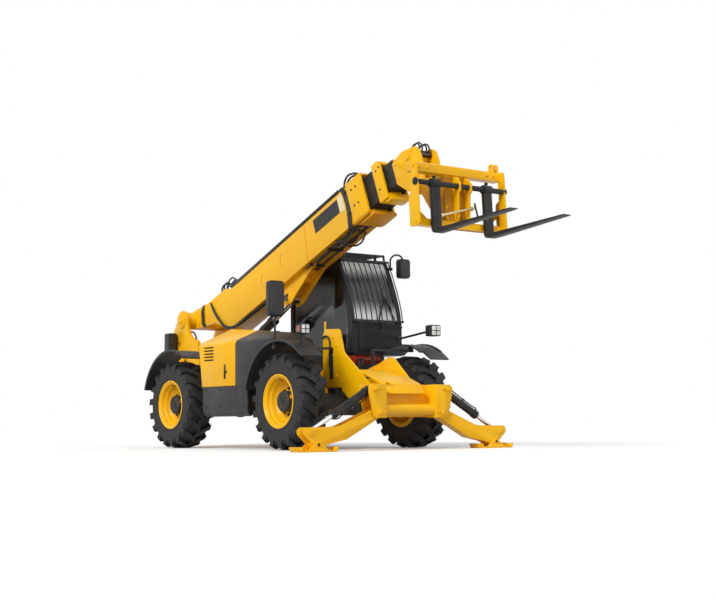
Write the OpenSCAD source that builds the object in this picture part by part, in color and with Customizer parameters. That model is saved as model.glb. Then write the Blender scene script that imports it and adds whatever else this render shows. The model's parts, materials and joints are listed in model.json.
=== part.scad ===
// Telehandler with a three-stage boom, pallet forks and front stabilisers.
// Millimetres, X forward, Y left, Z up. The ground is Z = 0.
// Sizes are written from a point on the ground under the front axle.

/* [Wheels] */
// distance between the axles
wheel_base = 2750; // [2650:10:2900]
// distance between the tyre centres of an axle
track = 1950; // [1900:10:2000]
// tyre radius to the lug tips
tyre_r = 607; // [590:1:620]
// tyre width
tyre_w = 390; // [360:5:400]
// height of the tread lugs
lug_h = 45; // [30:1:50]
// lugs on each half of the tread
lug_count = 18; // [14:1:20]
// rim flange radius
rim_r = 340; // [335:1:360]
// radius of the wheel hub
hub_r = 132; // [120:1:140]
// kingpin distance inside the tyre centre
king_in = 235; // [230:1:240]
// outer radius of the mudguards
guard_r = 765; // [760:1:780]

/* [Boom] */
// boom pivot behind the front axle
pivot_back = 3800; // [3750:10:3850]
// boom pivot height
pivot_z = 1890; // [1850:10:1950]
// boom angle at rest
boom_angle = 21; // [15:1:30]
// outer boom width
outer_w = 390; // [360:5:400]
// outer boom depth
outer_h = 530; // [500:5:540]
// plate thickness of the booms
boom_t = 10; // [8:1:12]
// thickness of the side wear pads
pad_w = 25; // [20:1:30]
// thickness of the upper and lower wear pads
pad_h = 40; // [35:1:45]
// how far each stage stands out at rest
stage_out = 200; // [150:10:250]

/* [Carriage] */
// carriage tilt pivot ahead of the front axle
tilt_x = 1600; // [1560:10:1640]
// carriage tilt pivot height
tilt_z = 3160; // [3120:10:3200]
// tips-up angle of the forks at rest
fork_pitch = 3.5; // [0:0.5:6]
// carriage width
carriage_w = 1380; // [1300:10:1420]
// distance between the fork centres
fork_gap = 814; // [700:2:900]
// fork width
fork_w = 125; // [100:5:150]
// fork thickness
fork_t = 50; // [40:1:60]
// fork blade length
fork_l = 1270; // [1100:10:1400]

/* [Stabilisers] */
// distance of a leg pivot from the middle
leg_pivot_y = 490; // [480:5:500]
// leg pivot height
leg_pivot_z = 450; // [440:5:460]
// pad pin distance from the middle
pad_y = 1390; // [1370:5:1400]

/* [Cab] */
// cab right face
cab_y0 = 305; // [305:1:315]
// cab left face
cab_y1 = 1150; // [1120:5:1160]
// windscreen sill height
sill_z = 1660; // [1640:5:1680]
// roof underside height
roof_z = 2500; // [2450:5:2550]
// how far the windscreen leans back
screen_lean = 295; // [250:5:320]
// cab panel thickness
panel_t = 30; // [20:1:34]
// bars of the windscreen guard
guard_bars = 10; // [8:1:12]

/* [Fits] */
// running clearance at pins and rods
fit = 0.3; // [0.2:0.05:0.5]
// clearance between moving pieces
gap = 6; // [5:0.5:10]

/* [Hidden] */
$fn = 48;
yellow = "#e0a020";
black = "#282828";
chrome = "#c8c8c8";
glass = "#506070";

// wheels and axles
rear_x = -wheel_base;
axle_z = tyre_r;
wheel_y = track / 2;
kingpin_y = wheel_y - king_in;
yoke_y0 = kingpin_y - 140;
king_r = 30;
spindle_r = 60;
well_r = rim_r - 40;
dish_r = well_r - 38;
crown_r = tyre_r - lug_h;
guard_t = 18;
guard_y0 = 800;
guard_y1 = 1175;

// chassis
rail_y0 = 260;
rail_y1 = 300;
rail_z0 = 780;
rail_z1 = 1020;
belly_z = 460;
plate_t = 25;
tower_y0 = 330;
tower_y1 = 380;
jaw_x = -4200;
tow_r = 16;
eye_r = 25;

// boom, u along it and v square to it from its pivot
pivot_x = -pivot_back;
pin_r = 50;
boom_v1 = -25;
outer_v0 = boom_v1 - outer_h;
boom_vc = boom_v1 - outer_h / 2;
mid_w = outer_w - 2 * boom_t - 2 * pad_w;
mid_h = outer_h - 2 * boom_t - 2 * pad_h;
inner_w = mid_w - 2 * boom_t - 2 * pad_w;
inner_h = mid_h - 2 * boom_t - 2 * pad_h;
mid_vc = boom_vc - 8;
inner_vc = boom_vc - 12;
collar_front = 4560;
collar_l = 330;
mid_collar_l = 170;
mid_front = collar_front + stage_out + mid_collar_l;
head_back = mid_front + stage_out;
head_t = 30;
head_y = inner_w / 2 + head_t;
hitch_y = head_y + 10;

// lift ram, lying between the plates of its brackets
ram_u = 2350;
ram_v = -740;
ram_base_x = -3600;
ram_base_z = 900;
ram_pin_x = pivot_x + ram_u * cos(boom_angle) - ram_v * sin(boom_angle);
ram_pin_z = pivot_z + ram_u * sin(boom_angle) + ram_v * cos(boom_angle);
ram_len = norm([ram_pin_x - ram_base_x, ram_pin_z - ram_base_z]);
ram_tilt = atan2(ram_pin_z - ram_base_z, ram_pin_x - ram_base_x);
ram_gland = 1980;
ram_rod = 1500;
ram_r = 68;
ram_rod_r = 45;
ram_pin_r = 40;
ram_gland_r = ram_r + 8;
ram_plate_y = ram_gland_r + gap;
ram_plate_t = 30;

// carriage
tilt_u = (tilt_x - pivot_x) * cos(boom_angle) + (tilt_z - pivot_z) * sin(boom_angle);
tilt_v = (tilt_z - pivot_z) * cos(boom_angle) - (tilt_x - pivot_x) * sin(boom_angle);
tilt_pin_r = 45;
half_w = carriage_w / 2;
shaft_u = 570;
shaft_v = -95;
shaft_r = 32;
fork_u = 545;
fork_v = -690;
tip_t = 12;
tip_x = tilt_x + (fork_u + fork_l + fork_t) * cos(fork_pitch) - (fork_v + fork_t - tip_t) * sin(fork_pitch);
mid_x = -(jaw_x + tip_x) / 2;

// stabilisers
leg_x0 = 1040;
leg_x1 = 1180;
leg_t = 12;
leg_xc = (leg_x0 + leg_x1) / 2;
leg_pin_r = 30;
bracket_t = 25;
bay_y = 390;
stay_y = 575;
stay_z = 735;
stay_pin_r = 25;
stay_rod_r = 28;
eye_y = 1490;
eye_z = 215;
stay_len = norm([eye_y - stay_y, eye_z - stay_z]);
stay_tilt = atan2(eye_z - stay_z, eye_y - stay_y);
stay_gland = 640;

// cab
floor_z = 820;
foot_x = -820;
toe_z = 1270;
cab_x0 = -1880;
cab_x1 = -405;
post_w = 40;
pane_t = 8;
bar_out = 70;
roof_t = 90;
brow_z = roof_z + 75;
brow_x = -785;
door_hinge_x = -1775;
door_hinge_y = cab_y1 + 18;
door_pin_r = 8;
hinge_r = 16;
hinge_h = 60;

// engine side
tub_z = 826;
pod_y = -1125;
pod_in = -480;
hood_x0 = -1915;
hood_x1 = -1062;
hood_t = 25;
hinge_y = -425;
hinge_z = 1552;
hinge_pin_r = 9;

// lamps and mirrors
lamp_x = 320;
lamp_y = 1000;
lamp_foot = 1335;
mirror_x = -150;
mirror_y = 1100;
mirror_foot = 1385;

// outline of the boom's heel, raised above the box section behind it
heel = [[-90, 105], [0, 135], [570, 58], [1040, 50], [1180, boom_v1 - 1], [1180, outer_v0 + 1], [930,
    outer_v0],
    [600, -300], [0, -130]];

// shared shapes

module at_middle() {
    translate([mid_x, 0, 0]) children();
}

module block(lo, hi) {
    translate(lo) cube(hi - lo);
}

// plate with its outline in X and Z, from y0 to y1
module side_plate(pts, y0, y1) {
    translate([0, y1, 0]) rotate([90, 0, 0]) linear_extrude(y1 - y0) polygon(pts);
}

// plate with its outline in Y and Z, from x0 to x1
module face_plate(pts, x0, x1) {
    translate([x0, 0, 0]) rotate([90, 0, 90]) linear_extrude(x1 - x0) polygon(pts);
}

module rod_x(y, z, x0, x1, r) {
    translate([x0, y, z]) rotate([0, 90, 0]) cylinder(r = r, h = x1 - x0);
}

module rod_y(x, z, y0, y1, r) {
    translate([x, y0, z]) rotate([-90, 0, 0]) cylinder(r = r, h = y1 - y0);
}

module rod_z(x, y, z0, z1, r) {
    translate([x, y, z0]) cylinder(r = r, h = z1 - z0);
}

// flat shape with round corners, its middle at the origin
module rounded(w, h, r) {
    square([w - 2 * r, h], center = true);
    square([w, h - 2 * r], center = true);
    for (x = [r - w / 2, w / 2 - r], y = [r - h / 2, h / 2 - r]) translate([x, y]) circle(r = r);
}

// housing with round corners in the front view, from x0 to x1
module rounded_box(x0, x1, y, z, w, h, r) {
    translate([x0, y, z]) rotate([90, 0, 90]) linear_extrude(x1 - x0) rounded(w, h, r);
}

module both_sides() {
    children();
    mirror([0, 1, 0]) children();
}

function arc(cx, cz, r, a0, a1, n) = [for (i = [0:n]) let (a = a0 + (a1 - a0) * i / n) [cx + r * cos(a),
    cz + r * sin(a)]];
function reversed(list) = [for (i = [len(list) - 1:-1:0]) list[i]];

module on_boom() {
    translate([pivot_x, 0, pivot_z]) rotate([0, -boom_angle, 0]) children();
}

module on_carriage() {
    translate([tilt_x, 0, tilt_z]) rotate([0, -fork_pitch, 0]) children();
}

module tube(u0, u1, w, v0, v1, t) {
    difference() {
        block([u0, -w / 2, v0], [u1, w / 2, v1]);
        block([u0 - 1, -w / 2 + t, v0 + t], [u1 + 1, w / 2 - t, v1 - t]);
    }
}

// ring of pads between two tubes, inside the outer one
module wear_pads(u0, u1, w_in, v0_in, v1_in, w, v0, v1) {
    block([u0, -w / 2 + 40, v0_in], [u1, w / 2 - 40, v0 - fit]);
    block([u0, -w / 2 + 40, v1 + fit], [u1, w / 2 - 40, v1_in]);
    both_sides() block([u0, w / 2 + fit, v0 + 60], [u1, w_in / 2, v1 - 60]);
}

// chassis

module rail() {
    side_plate([[-4020, rail_z0], [rear_x + 550, rail_z0], [rear_x + 610, belly_z], [-640, belly_z],
        [-560, rail_z0], [250, rail_z0], [250, rail_z1], [-4020, rail_z1]], rail_y0, rail_y1);
}

// upright with a rounded top about the boom pivot and a hollow front edge
module tower() {
    front = arc(-3380, 1850, 270, 180, 270, 8);
    difference() {
        union() {
            side_plate(concat([[-4020, 800], [-4020, 1320], [-4065, 1345], [-4080, 1700],
                [pivot_x - 150, pivot_z], [pivot_x + 150, pivot_z]], front,
                [[-3330, 1540], [-3250, rail_z1], [-3250, 800]]), tower_y0, tower_y1);
            rod_y(pivot_x, pivot_z, tower_y0, tower_y1, 150);
            rod_y(pivot_x, pivot_z, tower_y1 - 1, tower_y1 + 16, 110);
        }
        rod_y(-3700, 1230, tower_y0 - 1, tower_y1 + 1, 75);
        rod_y(-3880, 1530, tower_y0 - 1, tower_y1 + 1, 45);
    }
}

module chassis_frame() {
    color(yellow) at_middle() {
        both_sides() {
            rail();
            tower();
            block([-4020, rail_y1 - 1, 800], [-3250, tower_y0 + 1, rail_z1]);
            for (x = [-1700, -1000]) block([x, rail_y1 - 1, 740], [x + 80, 900, 780]);
            side_plate([[ram_base_x - 90, 814], [ram_base_x - 60, 960], [ram_base_x + 60, 960],
                [ram_base_x + 100, 814]], ram_plate_y - 6, ram_plate_y + ram_plate_t);
        }
        rod_y(pivot_x, pivot_z, -tower_y1 - 30, tower_y1 + 30, pin_r);
        rod_y(ram_base_x, ram_base_z, -ram_plate_y - 40, ram_plate_y + 40, ram_pin_r);
        block([ram_base_x - 100, -rail_y0 - 1, 790], [ram_base_x + 120, rail_y0 + 1, 815]);
        for (x = [-2120, -720]) block([x, -rail_y0 - 1, 480], [x + 60, rail_y0 + 1, 640]);
        block([120, -rail_y0 - 1, 800], [180, rail_y0 + 1, 900]);
    }
}

// rear weight with rounded corners, and the jaw for a tow pin
module counterweight() {
    color(yellow) at_middle() difference() {
        union() {
            block([-4021, -rail_y0 + fit, 640], [-3740, rail_y0 - fit, 1150]);
            intersection() {
                rounded_box(-4140, -4020 - fit, 0, 930, 1120, 740, 70);
                side_plate([[-4020, 540], [-4105, 540], [-4140, 590], [-4140, 1240], [-4080, 1310],
                    [-4020, 1310]],
                    -600, 600);
            }
            for (z = [600, 720]) {
                block([-4168, -60, z], [-4139, 60, z + 40]);
                rod_z(-4140, 0, z, z + 40, 60);
            }
        }
        rod_z(-4168, 0, 590, 770, tow_r);
    }
}

// side plate of the nose, from the cab's foot down to the cross beam
module nose_plate(top) {
    difference() {
        side_plate(concat(top, [[1004, 805], [1004, 400], [830, 400]],
            arc(560, 1010, 420, 275, 213, 6), [[-200, 792]]), rail_y1, rail_y1 + plate_t);
        rod_y(900, 600, rail_y1 - 1, rail_y1 + plate_t + 1, eye_r);
    }
}

module nose_plates() {
    color(yellow) at_middle() {
        nose_plate([[-200, 1000], [180, 1098], [363, 1174], [470, 1166], [880, 806]]);
        mirror([0, 1, 0]) nose_plate([[-200, 1470], [-150, 1545], [130, 1530], [170, 1500], [250, 1230],
            [325, 1170], [800, 806]]);
    }
}

module leg_bracket(x0, x1) {
    face_plate([[bay_y, 800], [610, 800], [650, 770], [650, 690], [585, 420], [555, 390], [bay_y, 390]], x0,
        x1);
}

module front_frame() {
    apron = [[330, 1010], [560, 990], [1008, 815], [1120, 690], [1104, 676], [1000, 795], [555, 970],
        [330, 990]];
    color(yellow) at_middle() {
        difference() {
            side_plate(apron, -rail_y1 + fit, rail_y1 - fit);
            linear_extrude(1200) polygon([[880, -200], [1040, -110], [1040, -240]]);
        }
        block([1004, -bay_y - 1, 400], [1004 + bracket_t, bay_y + 1, 800]);
        rod_y(1125, 490, -bay_y - 1, bay_y + 1, 68);
        both_sides() {
            block([1005, bay_y, 390], [1214, bay_y + bracket_t, 800]);
            leg_bracket(1004, 1004 + bracket_t);
            leg_bracket(1190, 1190 + bracket_t);
            rod_x(leg_pivot_y, leg_pivot_z, 1004, 1230, leg_pin_r);
            rod_x(stay_y, stay_z, 1004, 1230, stay_pin_r);
        }
    }
}

// valve bank under the front of the cab, with a port on each section
module valve_block() {
    sections = 8;
    pitch = 55;
    color("#a03028") at_middle() {
        block([-545, 345, 1150], [-430, 345 + sections * pitch, 1239.5]);
        for (i = [0:sections - 1]) {
            block([-560, 349 + i * pitch, 1130], [-415, 341 + (i + 1) * pitch, 1225]);
            rod_x(345 + (i + 0.5) * pitch, 1180, -430, -385, 16);
        }
    }
}

// axles, knuckles and wheels

module axle(x) {
    translate([x, 0, axle_z]) {
        both_sides() {
            translate([0, 100, 0]) rotate([-90, 0, 0]) cylinder(r1 = 125, r2 = 85, h = yoke_y0 - 99);
            block([-90, 230, 60], [90, 330, rail_z0 - axle_z]);
            block([-70, yoke_y0, -140], [70, yoke_y0 + 40, 140]);
            for (z = [-140, 110]) {
                block([-70, yoke_y0 + 39, z], [70, kingpin_y, z + 30]);
                rod_z(0, kingpin_y, z, z + 30, 70);
            }
            rod_z(0, kingpin_y, 80, 120, king_r);
            rod_z(0, kingpin_y, -120, -80, king_r);
        }
        sphere(r = 180);
        rod_y(0, 0, -110, 110, 140);
        rod_x(0, 0, -235, 0, 70);
    }
}

module front_axle() {
    color(black) at_middle() axle(0);
}

module rear_axle() {
    color(black) at_middle() axle(rear_x);
}

module knuckle() {
    difference() {
        union() {
            translate([-65, kingpin_y - 50, -104]) cube([130, 100, 208]);
            rod_y(0, 0, kingpin_y + 30, kingpin_y + 80, 95);
        }
        rod_z(0, kingpin_y, 79, 119, king_r + fit);
        rod_z(0, kingpin_y, -119, -79, king_r + fit);
    }
    rod_y(0, 0, kingpin_y + 49, wheel_y + 10, spindle_r);
}

module at_wheel(x, side) {
    at_middle() translate([x, 0, axle_z]) mirror([0, side > 0 ? 0 : 1, 0]) children();
}

module knuckle_fl() {
    color(black) at_wheel(0, 1) knuckle();
}

module knuckle_fr() {
    color(black) at_wheel(0, -1) knuckle();
}

module knuckle_rl() {
    color(black) at_wheel(rear_x, 1) knuckle();
}

module knuckle_rr() {
    color(black) at_wheel(rear_x, -1) knuckle();
}

// turned about the wheel's axis, outline in radius and distance outwards
module turned(pts) {
    translate([0, wheel_y, 0]) rotate([-90, 0, 0]) rotate_extrude() polygon(pts);
}

module hub() {
    turned([[spindle_r + fit, -80], [110, -80], [110, -50], [190, -50], [190, -20], [hub_r, -20], [hub_r,
        88],
        [hub_r - 6, 88], [hub_r - 6, 94], [hub_r, 94], [hub_r, 104], [hub_r - 12, 116], [60, 116], [54,
            108],
        [0, 108], [0, 20], [spindle_r + fit, 20]]);
}

module hub_fl() {
    color(black) at_wheel(0, 1) hub();
}

module hub_fr() {
    color(black) at_wheel(0, -1) hub();
}

module hub_rl() {
    color(black) at_wheel(rear_x, 1) hub();
}

module hub_rr() {
    color(black) at_wheel(rear_x, -1) hub();
}

// dished wheel: disc, stepped dish, well and flanges
module rim() {
    turned([[hub_r + fit, -20], [dish_r - 58, -20], [dish_r, 44], [well_r - 15, 44], [well_r - 15, -185],
        [rim_r, -185],
        [rim_r, -172], [well_r, -165], [well_r, 165], [rim_r, 172], [rim_r, 185], [rim_r - 16, 185],
        [rim_r - 26, 170], [well_r - 10, 162], [well_r - 14, 112], [dish_r + 4, 106], [dish_r - 4, 62],
        [dish_r - 48, 10], [hub_r + fit, 10]]);
}

module rim_fl() {
    color(yellow) at_wheel(0, 1) rim();
}

module rim_fr() {
    color(yellow) at_wheel(0, -1) rim();
}

module rim_rl() {
    color(yellow) at_wheel(rear_x, 1) rim();
}

module rim_rr() {
    color(yellow) at_wheel(rear_x, -1) rim();
}

// outline of the carcass on one side, from the bead to the crown
function sidewall(side) = [[well_r + fit, side * 164], [rim_r + 0.5, side * 171], [rim_r + 20, side * 187],
    [rim_r + 60, side * (tyre_w / 2 - 4)], [rim_r + 110, side * tyre_w / 2], [crown_r - 70,
        side * (tyre_w / 2 - 6)],
    [crown_r - 30, side * (tyre_w / 2 - 22)], [crown_r - 8, side * (tyre_w / 2 - 50)], [crown_r,
        side * (tyre_w / 2 - 85)]];

// one lug, from the middle of the tread out over the shoulder
module lug(angle) {
    foot = crown_r - 55;
    reach = 98;
    tip = sqrt(tyre_r * tyre_r - reach * reach);
    rotate([0, angle, 0]) translate([0, 0, foot]) linear_extrude(tip - foot)
        polygon([[reach, -14], [34, -14], [-78, 118], [2 - reach, tyre_w / 2], [-22, tyre_w / 2], [-10,
            128]]);
}

module tyre() {
    turned(concat(sidewall(-1), reversed(sidewall(1))));
    translate([0, wheel_y, 0]) for (i = [0:lug_count - 1]) {
        lug(i * 360 / lug_count);
        mirror([0, 1, 0]) lug((i + 0.5) * 360 / lug_count);
    }
}

module tyre_fl() {
    color("#202020") at_wheel(0, 1) tyre();
}

module tyre_fr() {
    color("#202020") at_wheel(0, -1) tyre();
}

module tyre_rl() {
    color("#202020") at_wheel(rear_x, 1) tyre();
}

module tyre_rr() {
    color("#202020") at_wheel(rear_x, -1) tyre();
}

// engine side

module engine() {
    color("#404040") at_middle() block([-1840, -950, 800], [-1120, -480, 1280]);
}

// cross-section of the engine cover, s inside its outer face
function pod_section(s, foot) = concat([[pod_y + s, foot]], arc(pod_y + 80, 1365, 80 - s, 180, 110, 6),
    [[-600, 1640 - s], [-540, 1642 - s], [pod_in, 1600 - s], [pod_in, foot]]);

// side outline of the engine cover from x0 to x1, its top falling to the front
function pod_top(x) = 1652 - (x + 2040) * 0.09;

module engine_tub() {
    tub_x0 = -1900;
    tub_x1 = -815;
    skirt = [[pod_y + 5, tub_z], [pod_y + 5, 520], [pod_y + 30, 450], [pod_y + 70, 430], [pod_y + 90, 450],
        [pod_y + 60, 470], [pod_y + 35, 530], [pod_y + 35, tub_z]];
    color(black) at_middle() {
        block([tub_x0, pod_y + 34, 780], [tub_x1, hinge_y + 25, 800]);
        face_plate(skirt, tub_x0, -guard_r - gap);
        block([tub_x0, pod_y + 34, 460], [tub_x0 + 20, hinge_y + 25, tub_z]);
        block([tub_x1 - 20, pod_y + 34, 460], [tub_x1, hinge_y + 25, 1100]);
        block([tub_x0, hinge_y + 5, 799], [tub_x1, hinge_y + 25, 1530]);
        for (x = [tub_x0, -1500, -1130]) block([x, hinge_y - 25, 1529], [x + 40, hinge_y + 25, 1575]);
        rod_x(hinge_y, hinge_z, tub_x0, -1090, hinge_pin_r);
    }
}

module hood() {
    color(yellow) at_middle() {
        difference() {
            intersection() {
                face_plate(pod_section(0, tub_z + gap), -2060, hood_x1);
                side_plate([[hood_x0, tub_z], [hood_x0 - 125, 1620], [hood_x0 - 100, pod_top(-2015)],
                    [hood_x1, pod_top(hood_x1)], [hood_x1, tub_z]], pod_y - 5, pod_in + 10);
            }
            intersection() {
                face_plate(pod_section(hood_t, tub_z), -2060, hood_x1 + 10);
                side_plate([[hood_x0 + 30, tub_z - 1], [hood_x0 - 95, 1600], [hood_x0 - 80, pod_top(-2015)
                    - hood_t],
                    [hood_x1 + 10, pod_top(hood_x1) - hood_t], [hood_x1 + 10, tub_z - 1]], pod_y - 5,
                        pod_in + 10);
            }
            for (i = [0:4]) side_plate([[hood_x0 + 40, 1180 + i * 42], [hood_x0 + 300, 1180 + i * 42],
                [hood_x0 + 300, 1200 + i * 42], [hood_x0 + 40, 1200 + i * 42]], pod_y - 5,
                    pod_y + hood_t + 5);
        }
        for (x = [-1850, -1300]) difference() {
            union() {
                rod_x(hinge_y, hinge_z, x, x + 120, 2 * hinge_pin_r);
                block([x, pod_in - 8, hinge_z + 10], [x + 120, hinge_y, hinge_z + 2 * hinge_pin_r]);
            }
            rod_x(hinge_y, hinge_z, x - 1, x + 121, hinge_pin_r + fit);
        }
    }
}

// black front of the engine cover, running forward over the wheel
module front_cowl() {
    x0 = hood_x1 + gap;
    low = 163.4;
    color(black) at_middle() difference() {
        intersection() {
            face_plate(pod_section(0, tub_z), x0, -200);
            side_plate(concat([[x0, tub_z + fit], [x0, pod_top(x0)], [-700, pod_top(-700)], [-300, 1440],
                [-200, 1405]],
                arc(0, axle_z, guard_r + 3, 105, low, 10)), pod_y - 5, pod_in + 10);
        }
        intersection() {
            face_plate(pod_section(hood_t, tub_z - 10), x0 - 10, -200);
            side_plate(concat([[x0 - 10, tub_z - 10], [x0 - 10, pod_top(x0) - hood_t], [-700,
                pod_top(-700) - hood_t],
                [-420, 1450]], arc(0, axle_z, guard_r + 28, 122, low + 2, 8)), pod_y - 5, pod_in + 10);
        }
    }
}

// left side

module fuel_tank() {
    tank = [[345, 470], [375, 440], [1040, 440], [1080, 480], [1080, 700], [1040, 740], [345, 740]];
    color(black) at_middle() {
        face_plate(tank, -1860, -860);
        for (step = [[450, 1160], [700, 1140]]) difference() {
            block([-1550, 1040, step[0]], [-1050, step[1], step[0] + 22]);
            for (i = [0:3]) block([-1525 + i * 120, step[1] - 50, step[0] - 1], [-1430 + i * 120,
                step[1] - 15, step[0] + 23]);
        }
    }
}

// front line of the cab, and its points from z0 to z1 moved back
function screen_x(z) = cab_x1 - screen_lean * pow(max(z - sill_z, 0) / (roof_z - sill_z), 1.5);
function screen_edge(back, z0, z1) = [for (i = [0:6]) let (z = z0 + (z1 - z0) * i / 6) [screen_x(z)
    - back, z]];
function screen_strip(front, back, z0, z1) = concat(screen_edge(front, z0, z1), reversed(screen_edge(back,
    z0, z1)));

// outline of a cab side in from its edges, and of its window
function side_outline(rear, foot, front, top) = concat([[rear, foot], [foot_x - front, foot],
    [foot_x - front, toe_z + front],
    [cab_x1 - post_w - front, toe_z + front]], screen_edge(post_w + front, sill_z, top), [[rear, top]]);
function side_window(rear, foot, front, top) = concat([[rear, foot], [cab_x1 - post_w - front, foot]],
    screen_edge(post_w + front, sill_z, top), [[rear, top]]);

module cab_floor() {
    color(black) at_middle() side_plate([[cab_x0, 780], [-800, 780], [-800, 1240], [cab_x1, 1240],
        [cab_x1, toe_z],
        [foot_x, toe_z], [foot_x, floor_z], [cab_x0, floor_z]], cab_y0 + panel_t, cab_y1);
}

module cab_front() {
    color(black) at_middle() {
        block([cab_x1 - post_w + fit, cab_y0, toe_z], [cab_x1, cab_y1, sill_z]);
        rounded_box(cab_x1 - 1, cab_x1 + 12, (cab_y0 + cab_y1) / 2, (toe_z + sill_z) / 2 - 10, 640, 300,
            50);
        side_plate([[cab_x1 - 30, sill_z - 40], [cab_x1 + 16, sill_z - 40], [cab_x1 + 16, sill_z - 22],
            [cab_x1 - 8, sill_z]], cab_y0, cab_y1);
        for (y = [cab_y0, cab_y1 - post_w]) {
            side_plate(screen_strip(0, post_w - fit, sill_z - 1, roof_z + 1), y, y + post_w);
            side_plate(concat(screen_edge(0, roof_z, brow_z), [[brow_x, brow_z], [brow_x, roof_z]]), y,
                y + post_w);
        }
        side_plate(screen_strip(0, post_w - fit, brow_z - 30, brow_z), cab_y0 + 1, cab_y1 - 1);
        block([brow_x, cab_y0 + 1, brow_z - 15], [screen_x(brow_z) - 5, cab_y1 - 1, brow_z]);
    }
}

module cab_right_wall() {
    color(black) at_middle() difference() {
        side_plate(side_outline(cab_x0 + 30, floor_z, 0, roof_z), cab_y0, cab_y0 + panel_t);
        side_plate(side_window(cab_x0 + 80, 1330, 60, roof_z - 60), cab_y0 - 1, cab_y0 + panel_t + 1);
    }
}

module cab_rear_wall() {
    color(black) at_middle() difference() {
        block([cab_x0, cab_y0, floor_z], [cab_x0 + 30, cab_y1, roof_z]);
        translate([cab_x0 - 1, (cab_y0 + cab_y1) / 2, (1400 + roof_z - 60) / 2]) rotate([90, 0, 90])
            linear_extrude(32)
            rounded(cab_y1 - cab_y0 - 140, roof_z - 1460, 60);
    }
}

module cab_left_frame() {
    color(black) at_middle() {
        block([cab_x0 + 30, cab_y1 - panel_t, floor_z], [door_hinge_x - 10, cab_y1, roof_z]);
        side_plate(concat([[door_hinge_x - 11, roof_z - 55]], screen_edge(post_w + 2, roof_z - 55, roof_z),
            [[door_hinge_x - 11, roof_z]]), cab_y1 - panel_t, cab_y1);
        for (z = [1000, 2200]) {
            block([door_hinge_x - 25, cab_y1 - 1, z], [door_hinge_x - 9, door_hinge_y, z + hinge_h]);
            rod_z(door_hinge_x, door_hinge_y, z, z + hinge_h, hinge_r);
            rod_z(door_hinge_x, door_hinge_y, z, z + 2 * hinge_h, door_pin_r);
        }
    }
}

// roof with a rounded brow and drip edges
module cab_roof() {
    brow = brow_x - fit;
    color(black) at_middle() intersection() {
        side_plate(concat([[cab_x0 - 10, roof_z], [brow, roof_z]], arc(brow - 75, roof_z + 15, 75, 0, 90,
            6),
            arc(cab_x0 + 50, roof_z + 30, 60, 90, 180, 6)), cab_y0 - 10, cab_y1 + 10);
        face_plate(concat([[cab_y0, roof_z], [cab_y1, roof_z]], arc(cab_y1 - 60, roof_z + 30, 60, 0, 90, 6),
            arc(cab_y0 + 60, roof_z + 30, 60, 90, 180, 6)), cab_x0 - 20, cab_x1);
    }
}

module cab_panes() {
    color(glass) at_middle() {
        side_plate(side_window(cab_x0 + 80, 1330, 60, roof_z - 60), cab_y0 + 10, cab_y0 + 10 + pane_t);
        translate([cab_x0 + 10, (cab_y0 + cab_y1) / 2, (1400 + roof_z - 60) / 2]) rotate([90, 0, 90])
            linear_extrude(pane_t)
            rounded(cab_y1 - cab_y0 - 140, roof_z - 1460, 60);
        side_plate(screen_strip(9, 9 + pane_t, sill_z, brow_z - 30), cab_y0 + post_w, cab_y1 - post_w);
    }
}

// bars in front of the windscreen, and the rack of bars over the roof
module cab_guards() {
    low = sill_z + 30;
    high = brow_z - 4;
    rail_h = 25;
    rack_z = roof_z + roof_t;
    front = screen_x(high) + bar_out - 35;
    color("#303030") at_middle() {
        for (i = [0:guard_bars - 1]) {
            y = cab_y0 + 30 + i * (cab_y1 - cab_y0 - 60) / (guard_bars - 1);
            side_plate(screen_strip(-bar_out, 10 - bar_out, low, high), y - 6, y + 6);
        }
        for (z = [low, high - rail_h]) {
            side_plate(screen_strip(-bar_out, 14 - bar_out, z, z + rail_h), cab_y0 + 10, cab_y1 - 10);
            for (y = [cab_y0 + 10, cab_y1 - 35]) side_plate(screen_strip(5 - bar_out, -fit, z,
                z + rail_h), y, y + 25);
        }
        for (y = [cab_y0 + 70, cab_y1 - 95]) {
            for (x = [-1500, -900]) block([x, y, rack_z], [x + 30, y + 25, rack_z + 50]);
            block([-1500, y, rack_z + 45], [front, y + 25, rack_z + 70]);
            side_plate([[front - 1, rack_z + 46], [front + 24, high - rail_h], [front + 39, high - rail_h],
                [front + 15, rack_z + 70], [front - 1, rack_z + 70]], y, y + 25);
        }
        block([front - 20, cab_y0 + 71, rack_z + 46], [front + 5, cab_y1 - 71, rack_z + 69]);
        for (i = [0:6]) block([-1490 + i * 130, cab_y0 + 71, rack_z + 46], [-1476 + i * 130, cab_y1 - 71,
            rack_z + 66]);
    }
}

// seat on its base, with side bolsters
module seat() {
    color("#202020") at_middle() {
        side_plate([[-1740, floor_z], [-1340, floor_z], [-1380, 1100], [-1720, 1100]], 560, 900);
        side_plate([[-1780, 1099], [-1300, 1099], [-1280, 1150], [-1290, 1215], [-1780, 1200]], 490, 970);
        side_plate([[-1790, 1180], [-1670, 1199], [-1720, 1700], [-1735, 1880], [-1810, 1880], [-1830,
            1700]], 500, 960);
    }
}

module steering_console() {
    color("#202020") at_middle() {
        side_plate([[-560, toe_z], [-446, toe_z], [-446, 1560], [-620, 1700], [-680, 1650]], 500, 960);
        translate([-635, 730, 1640]) rotate([0, -35, 0]) {
            cylinder(r = 18, h = 170);
            translate([0, 0, 160]) cylinder(r = 60, h = 20);
            translate([0, 0, 170]) rotate_extrude() translate([175, 0]) circle(r = 15, $fn = 24);
            for (a = [0, 120, 240]) rotate([0, 0, a]) block([40, -15, 164], [170, 15, 176]);
        }
    }
}

// guards over the wheels, lamps and mirrors

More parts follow.
